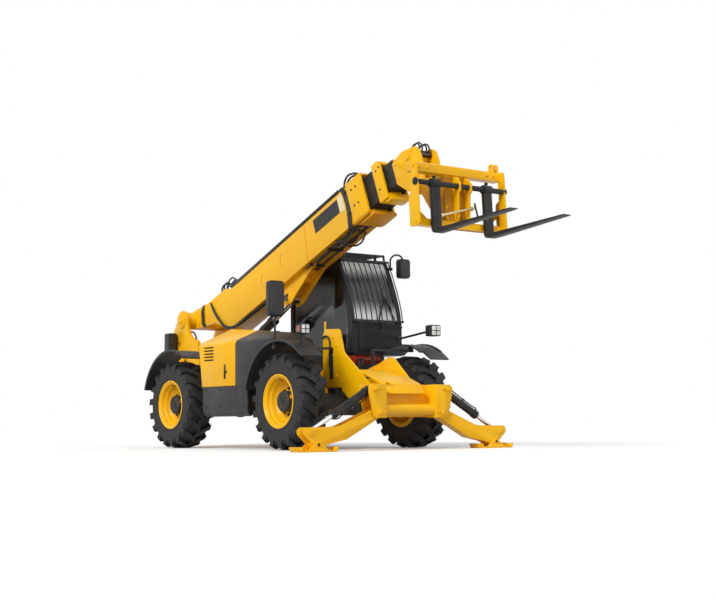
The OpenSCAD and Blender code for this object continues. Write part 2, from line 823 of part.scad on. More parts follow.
// rolled guard about the wheel from angle a0 at the front to a1 behind, with a stiff outer edge
module guard_arc(a0, a1, y0) {
    translate([0, guard_y1, axle_z]) rotate([90, 0, 0]) rotate([0, 0, a0]) {
        rotate_extrude(angle = a1 - a0) translate([guard_r - guard_t, 0]) square([guard_t, guard_y1 - y0]);
        rotate_extrude(angle = a1 - a0) translate([guard_r - guard_t, 0]) square([guard_t + 14, 22]);
    }
}

// flat wing that carries the front end of a guard on outwards
module guard_wing(a) {
    x = (guard_r - guard_t) * cos(a);
    z = axle_z + (guard_r - guard_t) * sin(a);
    side_plate([[x - 14, z + 12], [x, z], [x + 150, z - 95], [x + 158, z - 82], [x + 14, z + 22]],
        guard_y0 + 60, guard_y1);
}

module guard_stay() {
    top = axle_z + guard_r - guard_t;
    block([-30, rail_y1 + plate_t, 1270], [30, 1000, 1300]);
    block([-30, rail_y1 + plate_t, 900], [30, rail_y1 + plate_t + 20, 1271]);
    block([-30, 960, 1299], [30, 1000, top + 3]);
}

// flat seat for a post on top of a guard
module guard_boss(x, y, top) {
    block([x - 28, y - 28, axle_z + guard_r - 100], [x + 28, y + 28, top]);
}

module mudguards() {
    color(black) at_middle() {
        guard_arc(58, 121.3, guard_y0);
        guard_wing(58);
        guard_stay();
        mirror([0, 1, 0]) {
            guard_arc(58, 168, guard_y0);
            guard_wing(58);
            guard_stay();
            guard_boss(lamp_x, lamp_y, lamp_foot);
            guard_boss(mirror_x, mirror_y, mirror_foot);
        }
        both_sides() translate([rear_x, 0, 0]) {
            guard_arc(58, 163, guard_y0);
            guard_stay();
            block([-30, rail_y1, 900], [30, rail_y1 + plate_t + 1, 1000]);
        }
    }
}

module head_lamps() {
    color("#e8e8e8") at_middle() {
        rounded_box(lamp_x - 60, lamp_x + 60, -lamp_y, 1495, 130, 125, 22);
        rod_z(lamp_x, -lamp_y, lamp_foot, 1440, 14);
        rounded_box(210, 330, 1145, 1550, 165, 150, 25);
        rounded_box(cab_x1, cab_x1 + 18, 1100, 1475, 70, 70, 15);
        translate([cab_x1 + 5, 1100, 1475]) rotate([0, -6, 0]) rotate([0, 90, 0]) cylinder(r = 15, h = 625);
    }
}

// bent arm of the left mirror: a half turn from the roof corner out and down
module mirror_arm(r, bend) {
    translate([0, bend, 0]) rotate([0, -90, 0]) rotate([0, 0, -90]) rotate_extrude(angle = 180)
        translate([bend, 0]) circle(r = r);
}

module mirrors() {
    post_x = screen_x(2450) - post_w;
    arm_x = post_x + 34;
    arm_y = cab_y1 + 28;
    arm_z = 2580;
    bend = 88;
    turn = -43;
    case_x = arm_x - 2 * bend * sin(turn);
    case_y = arm_y + 2 * bend * cos(turn);
    color("#202020") at_middle() {
        rounded_box(mirror_x - 35, mirror_x + 35, -mirror_y, 1905, 220, 450, 45);
        rod_z(mirror_x, -mirror_y, mirror_foot, 1760, 14);
        block([post_x, cab_y1, 2450], [arm_x + 25, cab_y1 + 50, 2490]);
        rod_z(arm_x, arm_y, 2480, arm_z, 13);
        translate([arm_x, arm_y, arm_z]) rotate([0, 0, turn]) mirror_arm(13, bend);
        rod_z(case_x, case_y, 2560, arm_z, 13);
        rounded_box(case_x - 35, case_x + 35, case_y, 2470, 185, 270, 40);
    }
}

module rear_lamps() {
    color("#202020") at_middle() both_sides() {
        block([-4020, tower_y1, 1450], [-3960, 470, 1490]);
        rounded_box(-4030, -3900, 480, 1565, 150, 280, 30);
    }
}

// boom

module boom_outer() {
    side = outer_w / 2;
    color(yellow) at_middle() on_boom() {
        difference() {
            union() {
                block([930, -side, outer_v0], [collar_front - 100, side, boom_v1]);
                block([collar_front - collar_l, -side - 20, outer_v0 - 35], [collar_front, side + 20,
                    boom_v1 + 15]);
                block([collar_front - 240, -side + 15, outer_v0 - 75], [collar_front + 60, side - 15,
                    outer_v0 - 34]);
                side_plate(heel, -side, side);
                rod_y(0, 0, -tower_y0 + gap, tower_y0 - gap, 130);
                both_sides() {
                    side_plate([[ram_u - 180, outer_v0 + 1], [ram_u - 90, ram_v - 70], [ram_u + 70,
                        ram_v - 85],
                        [ram_u + 260, ram_v - 10], [ram_u + 850, outer_v0 + 1]], ram_plate_y,
                            ram_plate_y + ram_plate_t);
                    rod_y(ram_u, ram_v, ram_plate_y, ram_plate_y + ram_plate_t + 14, 62);
                }
                block([ram_u + 330, -ram_plate_y - 1, outer_v0 - 90], [ram_u + 350, ram_plate_y + 1,
                    outer_v0 + 1]);
            }
            block([740, -side + boom_t, outer_v0 + boom_t], [collar_front + 1, side - boom_t,
                boom_v1 - boom_t]);
            block([100, -side + 40, -600], [800, side - 40, 200]);
            rod_y(0, 0, -tower_y0, tower_y0, pin_r + fit);
        }
        wear_pads(collar_front - 200, collar_front - 20, outer_w - 2 * boom_t, outer_v0 + boom_t,
            boom_v1 - boom_t,
            mid_w, mid_vc - mid_h / 2, mid_vc + mid_h / 2);
    }
}

module boom_mid() {
    low = mid_vc - mid_h / 2;
    high = mid_vc + mid_h / 2;
    back = mid_front - mid_collar_l;
    color(black) at_middle() on_boom() {
        difference() {
            union() {
                block([1000, -mid_w / 2, low], [mid_front, mid_w / 2, high]);
                side_plate([[back, low - 50], [mid_front, low - 50], [mid_front, high + 30],
                    [mid_front - 70, high + 60],
                    [back, high + 45]], -mid_w / 2 - 15, mid_w / 2 + 15);
                block([back + 80, -mid_w / 2 + 15, low - 85], [mid_front + 20, mid_w / 2 - 15, low - 49]);
            }
            block([999, -mid_w / 2 + boom_t, low + boom_t], [mid_front + 1, mid_w / 2 - boom_t,
                high - boom_t]);
        }
        wear_pads(mid_front - 200, mid_front - 20, mid_w - 2 * boom_t, low + boom_t, high - boom_t, inner_w,
            inner_vc - inner_h / 2, inner_vc + inner_h / 2);
    }
}

module head_plate(y0, y1) {
    side_plate([[head_back, -500], [head_back, -216], [head_back + 60, -190], [head_back + 230, -165],
        [5590, -225],
        [5640, -290], [5645, -400], [5620, -600], [tilt_u + 85, tilt_v], [tilt_u - 85, tilt_v], [5290,
            -690]], y0, y1);
    rod_y(tilt_u, tilt_v, y0, y1, 85);
}

// inner boom with the head that carries the carriage, and its link pins
module boom_inner() {
    side = inner_w / 2;
    color(yellow) at_middle() on_boom() {
        tube(1150, head_back + 1, inner_w, inner_vc - inner_h / 2, inner_vc + inner_h / 2, boom_t);
        both_sides() {
            head_plate(side - boom_t, head_y);
            rod_y(head_back + 300, -290, side - boom_t, head_y + 4, 62);
        }
        rod_y(tilt_u, tilt_v, -head_y - 55, head_y + 55, tilt_pin_r);
        rod_y(head_back + 130, -290, -head_y - 4, head_y + 4, 40);
        block([head_back, -side, -216], [head_back + 230, side, -200]);
    }
}

// quick-hitch carriage: hitch plates, two beams, end plates with gussets, ribs and a back plate
module carriage() {
    beam = [[400, 45], [400, 142], [418, 160], [502, 160], [520, 142], [520, 45]];
    shelf = [[430, fork_v + 95], [430, fork_v + 185], [500, fork_v + 185], [520, fork_v + 165], [520,
        fork_v + 95]];
    end = [[500, -190], [500, 150], [580, 150], [600, 120], [600, fork_v + 110], [570, fork_v + 80], [440,
        fork_v + 80],
        [430, -330], [440, -230]];
    rib = concat([[488, 46], [560, 20], [610, -60], [610, -150], [575, -180], [560, -420]],
        arc(500, -450, 60, 30, -60, 4), [[488, -520]]);
    color(yellow) at_middle() on_carriage() difference() {
        union() {
            both_sides() {
                side_plate([[-70, -60], [-40, 75], [60, 80], [300, 60], [360, 110], [460, 110], [460,
                    -600], [330, -480],
                    [60, -75]], hitch_y, hitch_y + 30);
                rod_y(0, 0, hitch_y, hitch_y + 42, 80);
                side_plate(end, half_w - 25, half_w);
                face_plate([[half_w - 26, -330], [half_w - 26, -390], [half_w - 170, fork_v + 183],
                    [half_w - 250, fork_v + 183]], 440, 465);
            }
            side_plate(beam, -half_w + 1, half_w - 1);
            side_plate(shelf, -half_w + 1, half_w - 1);
            block([459, -hitch_y - 30, fork_v + 175], [490, hitch_y + 30, 50]);
            for (y = [-55, 115]) side_plate(rib, y, y + 28);
            side_plate([[420, 159], [420, 235], [440, 265], [480, 265], [500, 235], [500, 159]],
                half_w - 95, half_w - 70);
            side_plate([[420, 149], [420, 235], [440, 265], [480, 265], [500, 235], [500, 149]],
                half_w - 25, half_w);
        }
        rod_y(0, 0, -400, 400, tilt_pin_r + fit);
        rod_y(shaft_u, shaft_v, -half_w - 1, half_w + 1, shaft_r + fit);
        rod_y(460, 225, half_w - 100, half_w + 1, 18);
        for (z = [-560, -460]) rod_x(44, z, 450, 500, 36);
    }
}

module fork_shaft() {
    color(black) at_middle() on_carriage() {
        rod_y(shaft_u, shaft_v, -half_w - 20, half_w + 20, shaft_r);
        both_sides() rod_y(shaft_u, shaft_v, half_w + fit, half_w + 14, shaft_r + 12);
    }
}

// fork with a rounded heel, a tapered blade and a hook on the shaft
module fork() {
    heel_r = 60;
    tip = fork_u + fork_t + fork_l;
    difference() {
        union() {
            side_plate(concat(arc(fork_u + heel_r, fork_v + heel_r, heel_r, 180, 270, 6), [[fork_u + 200,
                fork_v],
                [tip - 30, fork_v + fork_t - tip_t], [tip, fork_v + fork_t - tip_t / 2], [tip,
                    fork_v + fork_t],
                [fork_u + fork_t, fork_v + fork_t], [fork_u + fork_t, shaft_v + 10], [fork_u,
                    shaft_v + 10]]),
                -fork_w / 2, fork_w / 2);
            rod_y(shaft_u, shaft_v, -fork_w / 2, fork_w / 2, 55);
        }
        rod_y(shaft_u, shaft_v, -fork_w, fork_w, shaft_r + fit);
    }
}

module fork_left() {
    color("#303030") at_middle() on_carriage() translate([0, fork_gap / 2, 0]) fork();
}

module fork_right() {
    color("#303030") at_middle() on_carriage() translate([0, -fork_gap / 2, 0]) fork();
}

module on_lift_ram() {
    translate([ram_base_x, 0, ram_base_z]) rotate([0, -ram_tilt, 0]) children();
}

module lift_barrel() {
    color(black) at_middle() on_lift_ram() difference() {
        union() {
            rod_y(0, 0, -69, 69, 70);
            rod_x(0, 0, 0, ram_gland, ram_r);
            rod_x(0, 0, ram_gland - 90, ram_gland, ram_gland_r);
            rod_x(0, 0, 150, 190, ram_r + 5);
            rod_z(170, 0, 0, 95, 18);
        }
        rod_y(0, 0, -75, 75, ram_pin_r + fit);
        rod_x(0, 0, 150, ram_gland + 1, ram_rod_r + fit);
    }
}

module lift_rod() {
    color(chrome) at_middle() on_lift_ram() {
        rod_x(0, 0, ram_len - ram_rod, ram_len, ram_rod_r);
        rod_y(ram_len, 0, -ram_plate_y + gap, ram_plate_y - gap, 60);
    }
}

// stabilisers

// leg of two plates with a bottom web, and the foot on its pin
module leg() {
    outline = concat([[430, 430], [450, 500], [520, 515], [1060, 300], [1120, 290], [1520, 285]],
        arc(1530, 230, 55, 90, -45, 6), [[1500, 130], [1460, 90], [1440, 45], [1340, 45], [1200, 95],
            [960, 140], [490, 385]]);
    web = [[490, 385], [960, 140], [1200, 95], [1300, 70], [1300, 85], [1205, 112], [965, 157], [500, 398]];
    ear = [[pad_y - 150, 19], [pad_y + 150, 19], [pad_y + 50, 100], [pad_y + 25, 122], [pad_y - 25, 122],
        [pad_y - 50, 100]];
    difference() {
        union() {
            face_plate(outline, leg_x0, leg_x0 + leg_t);
            face_plate(outline, leg_x1 - leg_t, leg_x1);
            face_plate(web, leg_x0, leg_x1);
            rod_x(leg_pivot_y, leg_pivot_z, leg_x0, leg_x1, leg_pin_r + 18);
            rod_x(pad_y, 85, leg_x0, leg_x1, 40);
            for (x = [leg_x0 - 8, leg_x1 - 1]) rod_x(eye_y, eye_z, x, x + 9, 34);
        }
        rod_x(leg_pivot_y, leg_pivot_z, leg_x0 - 1, leg_x1 + 1, leg_pin_r + fit);
    }
    face_plate([[pad_y - 235, 22], [pad_y - 255, 60], [pad_y - 270, 54], [pad_y - 245, 0], [pad_y + 245,
        0], [pad_y + 270, 54],
        [pad_y + 255, 60], [pad_y + 235, 22]], leg_xc - 125, leg_xc + 125);
    for (x = [leg_x0 - gap - 18, leg_x1 + gap + 6]) face_plate(ear, x, x + 12);
    rod_x(pad_y, 85, leg_x0 - gap - 24, leg_x1 + gap + 24, 20);
}

module stabiliser_left() {
    color(yellow) at_middle() leg();
}

module stabiliser_right() {
    color(yellow) at_middle() mirror([0, 1, 0]) leg();
}

module on_stay() {
    translate([leg_xc, stay_y, stay_z]) rotate([stay_tilt, 0, 0]) children();
}

module stay_barrel() {
    on_stay() difference() {
        union() {
            rod_x(0, 0, -55, 55, 42);
            rod_y(0, 0, 0, stay_gland, 50);
            rod_y(0, 0, stay_gland - 60, stay_gland, 56);
            rod_y(0, 0, 60, 100, 55);
        }
        rod_x(0, 0, -60, 60, stay_pin_r + fit);
        rod_y(0, 0, 100, stay_gland + 1, stay_rod_r + fit);
    }
}

module stay_rod() {
    on_stay() {
        rod_y(0, 0, stay_len - 600, stay_len, stay_rod_r);
        rod_x(stay_len, 0, -35, 35, 38);
    }
}

module stab_barrel_left() {
    color(black) at_middle() stay_barrel();
}

module stab_barrel_right() {
    color(black) at_middle() mirror([0, 1, 0]) stay_barrel();
}

module stab_rod_left() {
    color(chrome) at_middle() stay_rod();
}

module stab_rod_right() {
    color(chrome) at_middle() mirror([0, 1, 0]) stay_rod();
}

// door

module door() {
    color(black) at_middle() {
        difference() {
            side_plate(side_outline(door_hinge_x - 3, floor_z + 8, 8, roof_z - 62), cab_y1 - panel_t,
                cab_y1);
            side_plate(side_window(-1700, 1340, 70, roof_z - 125), cab_y1 - panel_t - 1, cab_y1 + 1);
        }
        for (z = [1000, 2200]) difference() {
            union() {
                rod_z(door_hinge_x, door_hinge_y, z + hinge_h + fit, z + 2 * hinge_h, hinge_r);
                block([door_hinge_x, cab_y1 - 1, z + hinge_h + fit], [-1720, cab_y1 + 16, z + 2 * hinge_h]);
            }
            rod_z(door_hinge_x, door_hinge_y, z, z + 2 * hinge_h + 10, door_pin_r + fit);
        }
    }
}

module door_pane() {
    color(glass) at_middle() side_plate(side_window(-1700, 1340, 70, roof_z - 125), cab_y1 - 20,
        cab_y1 - 20 + pane_t);
}

chassis_frame();
counterweight();
nose_plates();
front_frame();
valve_block();
front_axle();
rear_axle();
engine();
engine_tub();
front_cowl();
fuel_tank();
cab_floor();
cab_front();
cab_right_wall();
cab_rear_wall();
cab_left_frame();
cab_roof();
cab_panes();
cab_guards();
seat();
steering_console();
mudguards();
head_lamps();
mirrors();
rear_lamps();
boom_outer();
boom_mid();
boom_inner();
carriage();
fork_shaft();
fork_left();
fork_right();
lift_barrel();
lift_rod();
stabiliser_left();
stabiliser_right();
stab_barrel_left();
stab_barrel_right();
stab_rod_left();
stab_rod_right();
door();
door_pane();
hood();
knuckle_fl();
knuckle_fr();
knuckle_rl();
knuckle_rr();
hub_fl();
hub_fr();
hub_rl();
hub_rr();
rim_fl();
rim_fr();
rim_rl();
rim_rr();
tyre_fl();
tyre_fr();
tyre_rl();
tyre_rr();
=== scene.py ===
import json
import math

import bmesh
import bpy
from mathutils import Matrix, Vector


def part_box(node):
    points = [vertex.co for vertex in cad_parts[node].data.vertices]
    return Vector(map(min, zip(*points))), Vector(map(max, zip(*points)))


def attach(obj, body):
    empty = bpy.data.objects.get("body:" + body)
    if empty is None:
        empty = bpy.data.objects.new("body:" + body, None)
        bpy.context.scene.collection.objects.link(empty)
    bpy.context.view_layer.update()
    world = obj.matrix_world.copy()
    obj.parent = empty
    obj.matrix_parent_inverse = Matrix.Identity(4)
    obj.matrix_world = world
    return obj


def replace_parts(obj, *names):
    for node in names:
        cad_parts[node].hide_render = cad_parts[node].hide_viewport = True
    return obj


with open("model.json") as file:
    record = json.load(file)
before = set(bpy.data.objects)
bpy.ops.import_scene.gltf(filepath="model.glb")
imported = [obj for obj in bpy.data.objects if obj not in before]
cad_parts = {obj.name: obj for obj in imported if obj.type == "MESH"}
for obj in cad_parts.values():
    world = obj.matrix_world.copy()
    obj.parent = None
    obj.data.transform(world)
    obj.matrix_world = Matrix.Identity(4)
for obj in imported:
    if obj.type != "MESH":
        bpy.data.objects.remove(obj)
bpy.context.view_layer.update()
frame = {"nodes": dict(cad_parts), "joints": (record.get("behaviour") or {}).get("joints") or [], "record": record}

nodes = frame["nodes"]
joints = {joint["name"]: joint for joint in frame["joints"]}
scene = bpy.context.scene
corners = ("fl", "fr", "rl", "rr")


# camera

cameraSetup = {
    "azimuth": 36.834,  # degrees from the nose, towards the right-hand side
    "distance": 17.204,
    "height": 0.336,
    "aimAhead": 0.133,  # of the front axle
    "tilt": 5.25,
    "roll": -0.469,
    "lens": 67.09,
    "sensor": 36.0,
}


def wheelCentre(corner):
    low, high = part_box("tyre_" + corner)
    return (Vector(low) + Vector(high)) / 2


frontAxleX = wheelCentre("fl").x


def addCamera(setup):
    azimuth = math.radians(setup["azimuth"])
    tilt = math.radians(setup["tilt"])
    roll = math.radians(setup["roll"])
    ahead = Vector((-math.cos(azimuth), math.sin(azimuth), 0))
    sideways = Vector((math.sin(azimuth), math.cos(azimuth), 0))
    forward = ahead * math.cos(tilt) + Vector((0, 0, 1)) * math.sin(tilt)
    upward = sideways.cross(forward)
    right = sideways * math.cos(roll) + upward * math.sin(roll)
    upward = right.cross(forward)
    place = Vector((frontAxleX + setup["aimAhead"], 0, setup["height"])) - ahead * setup["distance"]
    data = bpy.data.cameras.new("camera")
    data.sensor_width = setup["sensor"]
    data.lens = setup["lens"]
    data.clip_end = 200
    camera = bpy.data.objects.new("camera", data)
    axes = Matrix((right, upward, -forward)).transposed()
    camera.matrix_world = Matrix.Translation(place) @ axes.to_4x4()
    scene.collection.objects.link(camera)
    scene.camera = camera


addCamera(cameraSetup)
scene.view_settings.view_transform = "Standard"
print("camera placed")


# shader sockets as plain expressions

class Socket:
    def __init__(self, tree, out):
        self.tree = tree
        self.out = out

    def math(self, operation, first, second=None):
        values = {0: first}
        if second is not None:
            values[1] = second
        return addNode(self.tree, "ShaderNodeMath", {"operation": operation}, values)

    def __add__(self, other):
        return self.math("ADD", self, other)

    __radd__ = __add__

    def __mul__(self, other):
        return self.math("MULTIPLY", self, other)

    def __sub__(self, other):
        return self.math("SUBTRACT", self, other)

    def __rsub__(self, other):
        return self.math("SUBTRACT", other, self)

    def sine(self):
        return self.math("SINE", self)

    def clamp(self):
        return self.math("MINIMUM", self.math("MAXIMUM", self, 0.0), 1.0)

    def ramp(self, low, high):
        settings = {"interpolation_type": "SMOOTHSTEP"}
        return addNode(self.tree, "ShaderNodeMapRange", settings, {0: self, 1: low, 2: high})


def linear(*color):
    shares = [value / 255 for value in color]
    return [share / 12.92 if share <= 0.04045 else ((share + 0.055) / 1.055) ** 2.4 for share in shares] + [1]


def plug(tree, socket, value):
    if isinstance(value, Socket):
        tree.links.new(value.out, socket)
    elif isinstance(value, tuple):  # a colour, 0 to 255
        socket.default_value = linear(*value)
    else:
        socket.default_value = value


def addNode(tree, kind, settings=None, inputs=None, out=0):
    made = tree.nodes.new(kind)
    for name, value in (settings or {}).items():
        setattr(made, name, value)
    for name, value in (inputs or {}).items():
        plug(tree, made.inputs[name], value)
    return Socket(tree, made.outputs[out])


inputLabels = {
    "color": "Base Color", "roughness": "Roughness", "metallic": "Metallic", "normal": "Normal",
    "alpha": "Alpha", "coat": "Coat Weight", "coatRoughness": "Coat Roughness",
    "specular": "Specular IOR Level", "glow": "Emission Color", "glowStrength": "Emission Strength",
}
yellow = (252, 191, 6)
yellowShade = (247, 178, 4)
coatWeight = 0.09
coatRoughness = 0.10
paintSpecular = 0.2


class Finish:
    def __init__(self, name):
        self.material = bpy.data.materials.new(name)
        self.material.use_nodes = True
        self.tree = self.material.node_tree
        self.shader = self.tree.nodes["Principled BSDF"]
        self.place = addNode(self.tree, "ShaderNodeTexCoord", out=3)

    def noise(self, scale, detail=3.0, rough=0.55):
        inputs = {"Vector": self.place, "Scale": scale, "Detail": detail, "Roughness": rough}
        return addNode(self.tree, "ShaderNodeTexNoise", None, inputs)

    def axis(self, index):
        return addNode(self.tree, "ShaderNodeSeparateXYZ", None, {0: self.place}, out=index)

    def mix(self, factor, first, second):
        inputs = {0: factor, 6: first, 7: second}
        return addNode(self.tree, "ShaderNodeMix", {"data_type": "RGBA"}, inputs, out=2)

    def bump(self, height, strength, distance):
        return addNode(self.tree, "ShaderNodeBump", None,
                       {"Strength": strength, "Distance": distance, "Height": height})

    def set(self, **values):
        for name, value in values.items():
            plug(self.tree, self.shader.inputs[inputLabels[name]], value)
        return self.material

    def yellowCoat(self, mottle):
        return self.mix(mottle.ramp(0.35, 0.7) * 0.6, yellow, yellowShade)

    def setPaint(self, tone, rough, worn):  # a thin coat that wears off, and that is also left off where shade is painted
        return self.set(color=tone, roughness=rough.clamp(), coat=(coatWeight - worn * coatWeight).clamp(),
                        coatRoughness=coatRoughness, specular=paintSpecular)


def paintFinish(name, color, shade, dusty):
    finish = Finish(name)
    mottle = finish.noise(1.6, 4.0)
    grime = finish.noise(7.0, 6.0, 0.65)
    low = 1 - finish.axis(2).ramp(0.25, 1.5)
    dust = (low * grime.ramp(0.42, 0.75) * dusty).clamp()
    tone = finish.mix(mottle.ramp(0.35, 0.7) * 0.6, color, shade)
    tone = finish.mix(dust, tone, (150, 128, 98))
    finish.set(normal=finish.bump(finish.noise(420.0, 1.0), 0.05, 0.002))
    return finish.setPaint(tone, mottle * 0.16 + 0.26 + dust * 0.5, dust)


def plasticFinish(name, color, shade, grain=900.0, rough=0.52, dusty=0.35):
    finish = Finish(name)
    mottle = finish.noise(3.0, 5.0)
    speck = finish.noise(grain, 2.0)
    low = 1 - finish.axis(2).ramp(0.2, 1.6)
    dust = (low * finish.noise(9.0, 6.0).ramp(0.45, 0.75) * dusty).clamp()
    tone = finish.mix(mottle.ramp(0.3, 0.75), color, shade)
    tone = finish.mix(dust, tone, (122, 110, 92))
    return finish.set(color=tone, roughness=(mottle * 0.2 + rough - 0.1 + dust * 0.3).clamp(),
                      normal=finish.bump(speck, 0.25, 0.0008))


def metalFinish(name, color, shade, rough, metallic=1.0):
    finish = Finish(name)
    brushed = finish.noise(30.0, 3.0, 0.6)
    smear = finish.noise(4.0, 4.0)
    tone = finish.mix(smear.ramp(0.35, 0.7), color, shade)
    rough = (brushed * 0.18 + smear * 0.08 + rough - 0.12).clamp()
    bump = finish.bump(brushed, 0.06, 0.001)
    return finish.set(color=tone, metallic=metallic, roughness=rough, normal=bump)


def rubberFinish(name):
    finish = Finish(name)
    dirt = finish.noise(11.0, 6.0, 0.7)
    fine = finish.noise(260.0, 3.0)
    tone = finish.mix(dirt.ramp(0.45, 0.72) * 0.5, (23, 23, 24), (54, 51, 46))
    bump = finish.bump(fine, 0.2, 0.0015)
    return finish.set(color=tone, roughness=(dirt * 0.25 + 0.6).clamp(), normal=bump)


def paneFinish(name):  # tinted glass, with a painted pale sheen: the reflection a curved screen shows at its foot and head
    finish = Finish(name)
    film = finish.noise(5.0, 5.0)
    up = finish.axis(2)
    sheen = (1 - up.ramp(1.72, 2.02) + up.ramp(2.26, 2.52)) * finish.axis(1).ramp(0.33, 0.36)
    sheen = (sheen * up.ramp(1.685, 1.75) * (film * 0.4 + 0.85)).clamp()
    tone = finish.mix(film.ramp(0.4, 0.8), (22, 26, 28), (44, 49, 51))
    # painted reflection: the screen's foot and head turned pale
    tone = finish.mix(sheen, tone, (248, 250, 250))
    return finish.set(color=tone, roughness=(film * 0.08 + 0.02 + sheen * 0.2).clamp(),
                      alpha=(film * 0.12 + 0.5 + sheen * 0.48).clamp(), coat=0.4, specular=0.6)


def hoseFinish(name):
    finish = Finish(name)
    scuff = finish.noise(14.0, 5.0, 0.65)
    braid = finish.noise(700.0, 2.0, 0.5)
    tone = finish.mix(scuff.ramp(0.45, 0.75), (22, 22, 23), (56, 53, 50))
    bump = finish.bump(braid, 0.3, 0.001)
    return finish.set(color=tone, roughness=(scuff * 0.2 + 0.42).clamp(), normal=bump)


def lensFinish(name, color, deep):
    finish = Finish(name)
    wave = (finish.axis(1) * 190.0).sine()  # ribs
    glint = finish.noise(60.0, 3.0)
    tone = finish.mix(glint.ramp(0.35, 0.7), color, deep)
    return finish.set(color=tone, roughness=(glint * 0.12 + 0.06).clamp(), coat=0.7, specular=0.7,
                      normal=finish.bump(wave, 0.4, 0.003))


def meshFinish(name):
    finish = Finish(name)
    holes = ((finish.axis(0) * 420.0).sine() * (finish.axis(2) * 420.0).sine()).ramp(-0.15, 0.25)
    tone = finish.mix(holes, (38, 38, 39), (8, 8, 8))
    return finish.set(color=tone, roughness=holes * 0.3 + 0.5, normal=finish.bump(holes, 0.8, 0.004))


def boomAlong(finish):  # distance from the pivot, along the boom
    return finish.axis(0) * boomAxis.x + finish.axis(2) * boomAxis.z - boomPivot.dot(boomAxis)


def boomTubeFinish(name, front):  # dark tube behind, painted collar or head in front
    finish = Finish(name)
    painted = boomAlong(finish).ramp(front, front + 0.004)
    blotch = finish.noise(5.0, 5.0, 0.6)
    tube = finish.mix(blotch.ramp(0.35, 0.7), (52, 52, 51), (36, 35, 34))
    tone = finish.mix(painted, tube, finish.yellowCoat(finish.noise(1.6, 4.0)))
    return finish.setPaint(tone, blotch * 0.2 + 0.32 - painted * 0.08, 1 - painted)


def boomPaintFinish(name, belly, start):  # yellow, with painted shade in brown below the front half's side plates
    finish = Finish(name)
    up = finish.axis(2) * boomAxis.x - finish.axis(0) * boomAxis.z
    level = boomPivot.z * boomAxis.x - boomPivot.x * boomAxis.z
    blotch = finish.noise(6.0, 6.0, 0.65)
    # painted shade: the boom's underside turned brown from start on, more or less by the blotch noise
    undersideShade = (1 - (up - level).ramp(belly - 0.006, belly)) * boomAlong(finish).ramp(start, start + 0.15)
    undersideShade = undersideShade * (blotch * 0.4 + 0.3)
    tone = finish.yellowCoat(finish.noise(1.6, 4.0))
    tone = finish.mix(undersideShade.clamp(), tone, (176, 98, 30))
    return finish.setPaint(tone, blotch * 0.16 + 0.26 + undersideShade * 0.2, undersideShade)


def carriageFinish(name):  # yellow, with a brown back plate: part dirt, part painted shade under the cross beam
    finish = Finish(name)
    hinge = Vector(joints["carriage_tilt"]["pos_m"])
    ahead, height = finish.axis(0) - hinge.x, finish.axis(2) - hinge.z
    along = ahead * math.cos(carriageTilt) + height * math.sin(carriageTilt)
    up = height * math.cos(carriageTilt) - ahead * math.sin(carriageTilt)
    behind = (1 - along.ramp(0.489, 0.496)) * (1 - up.ramp(0.0, 0.04)) * finish.axis(1).ramp(-0.36, -0.33)
    dirtAndShadeMottle = finish.noise(9.0, 6.0, 0.65)
    tone = finish.yellowCoat(finish.noise(1.6, 4.0))
    # painted shade with dirt: the back plate turned brown where the cross beam shades it
    tone = finish.mix((behind * (dirtAndShadeMottle * 0.5 + 0.5)).clamp(), tone, (150, 88, 26))
    return finish.setPaint(tone, dirtAndShadeMottle * 0.2 + 0.22 + behind * 0.2, behind)


boomPivot = Vector(joints["boom_lift"]["pos_m"])
boomAxis = Vector(joints["boom_extend"]["axis"])
carriageTilt = math.radians(3.5)  # of the carriage in the photo
paint = {
    "yellow": paintFinish("yellow_paint", yellow, yellowShade, 0.1),
    "black": paintFinish("black_paint", (32, 32, 33), (22, 22, 23), 0.12),
    "outer": boomPaintFinish("outer_boom_paint", -0.549, 2.8),
    "carriage": carriageFinish("carriage_paint"),
    "middle": boomTubeFinish("middle_boom_paint", 4.752),
    "inner": boomTubeFinish("inner_boom_paint", 5.126),
    "red": paintFinish("red_paint", (164, 44, 34), (130, 30, 26), 0.4),
    "cream": paintFinish("cream_paint", (238, 226, 190), (226, 212, 172), 0.1),
    "seam": paintFinish("seam_paint", (206, 134, 8), (190, 120, 6), 0.0),
    "darkPanel": paintFinish("dark_panel_paint", (52, 50, 49), (42, 41, 41), 0.0),
    "plastic": plasticFinish("moulded_plastic", (37, 37, 38), (29, 29, 30), dusty=0.12),
    "cast": plasticFinish("cast_iron", (38, 38, 37), (27, 27, 26), 500.0, 0.6, 0.25),
    "rubber": rubberFinish("tyre_rubber"),
    "hose": hoseFinish("hose_rubber"),
    "pane": paneFinish("tinted_pane"),
    "lens": lensFinish("clear_lens", (246, 246, 242), (214, 216, 216)),
    "amberLens": lensFinish("amber_lens", (168, 86, 20), (118, 56, 10)),
    "redLens": lensFinish("red_lens", (172, 26, 20), (120, 14, 12)),
    "mirror": metalFinish("mirror_glass", (214, 218, 222), (200, 205, 210), 0.14),
    "mesh": meshFinish("air_mesh"),
    "chrome": metalFinish("chromed_rod", (225, 226, 228), (205, 206, 210), 0.16),
    "bright": metalFinish("plated_steel", (222, 208, 168), (196, 180, 140), 0.34, 0.75),
    "steel": metalFinish("worn_steel", (112, 104, 92), (70, 64, 58), 0.45, 0.85),
    "rust": metalFinish("dark_pin_steel", (84, 56, 34), (50, 34, 24), 0.6, 0.5),
    "fork": metalFinish("fork_steel", (52, 51, 50), (38, 37, 37), 0.5, 0.6),
    "seat": plasticFinish("seat_cloth", (30, 30, 33), (20, 20, 22), 1400.0, 0.85, 0.0),
    "lamp": plasticFinish("lamp_shell", (38, 38, 40), (30, 30, 31)),
}

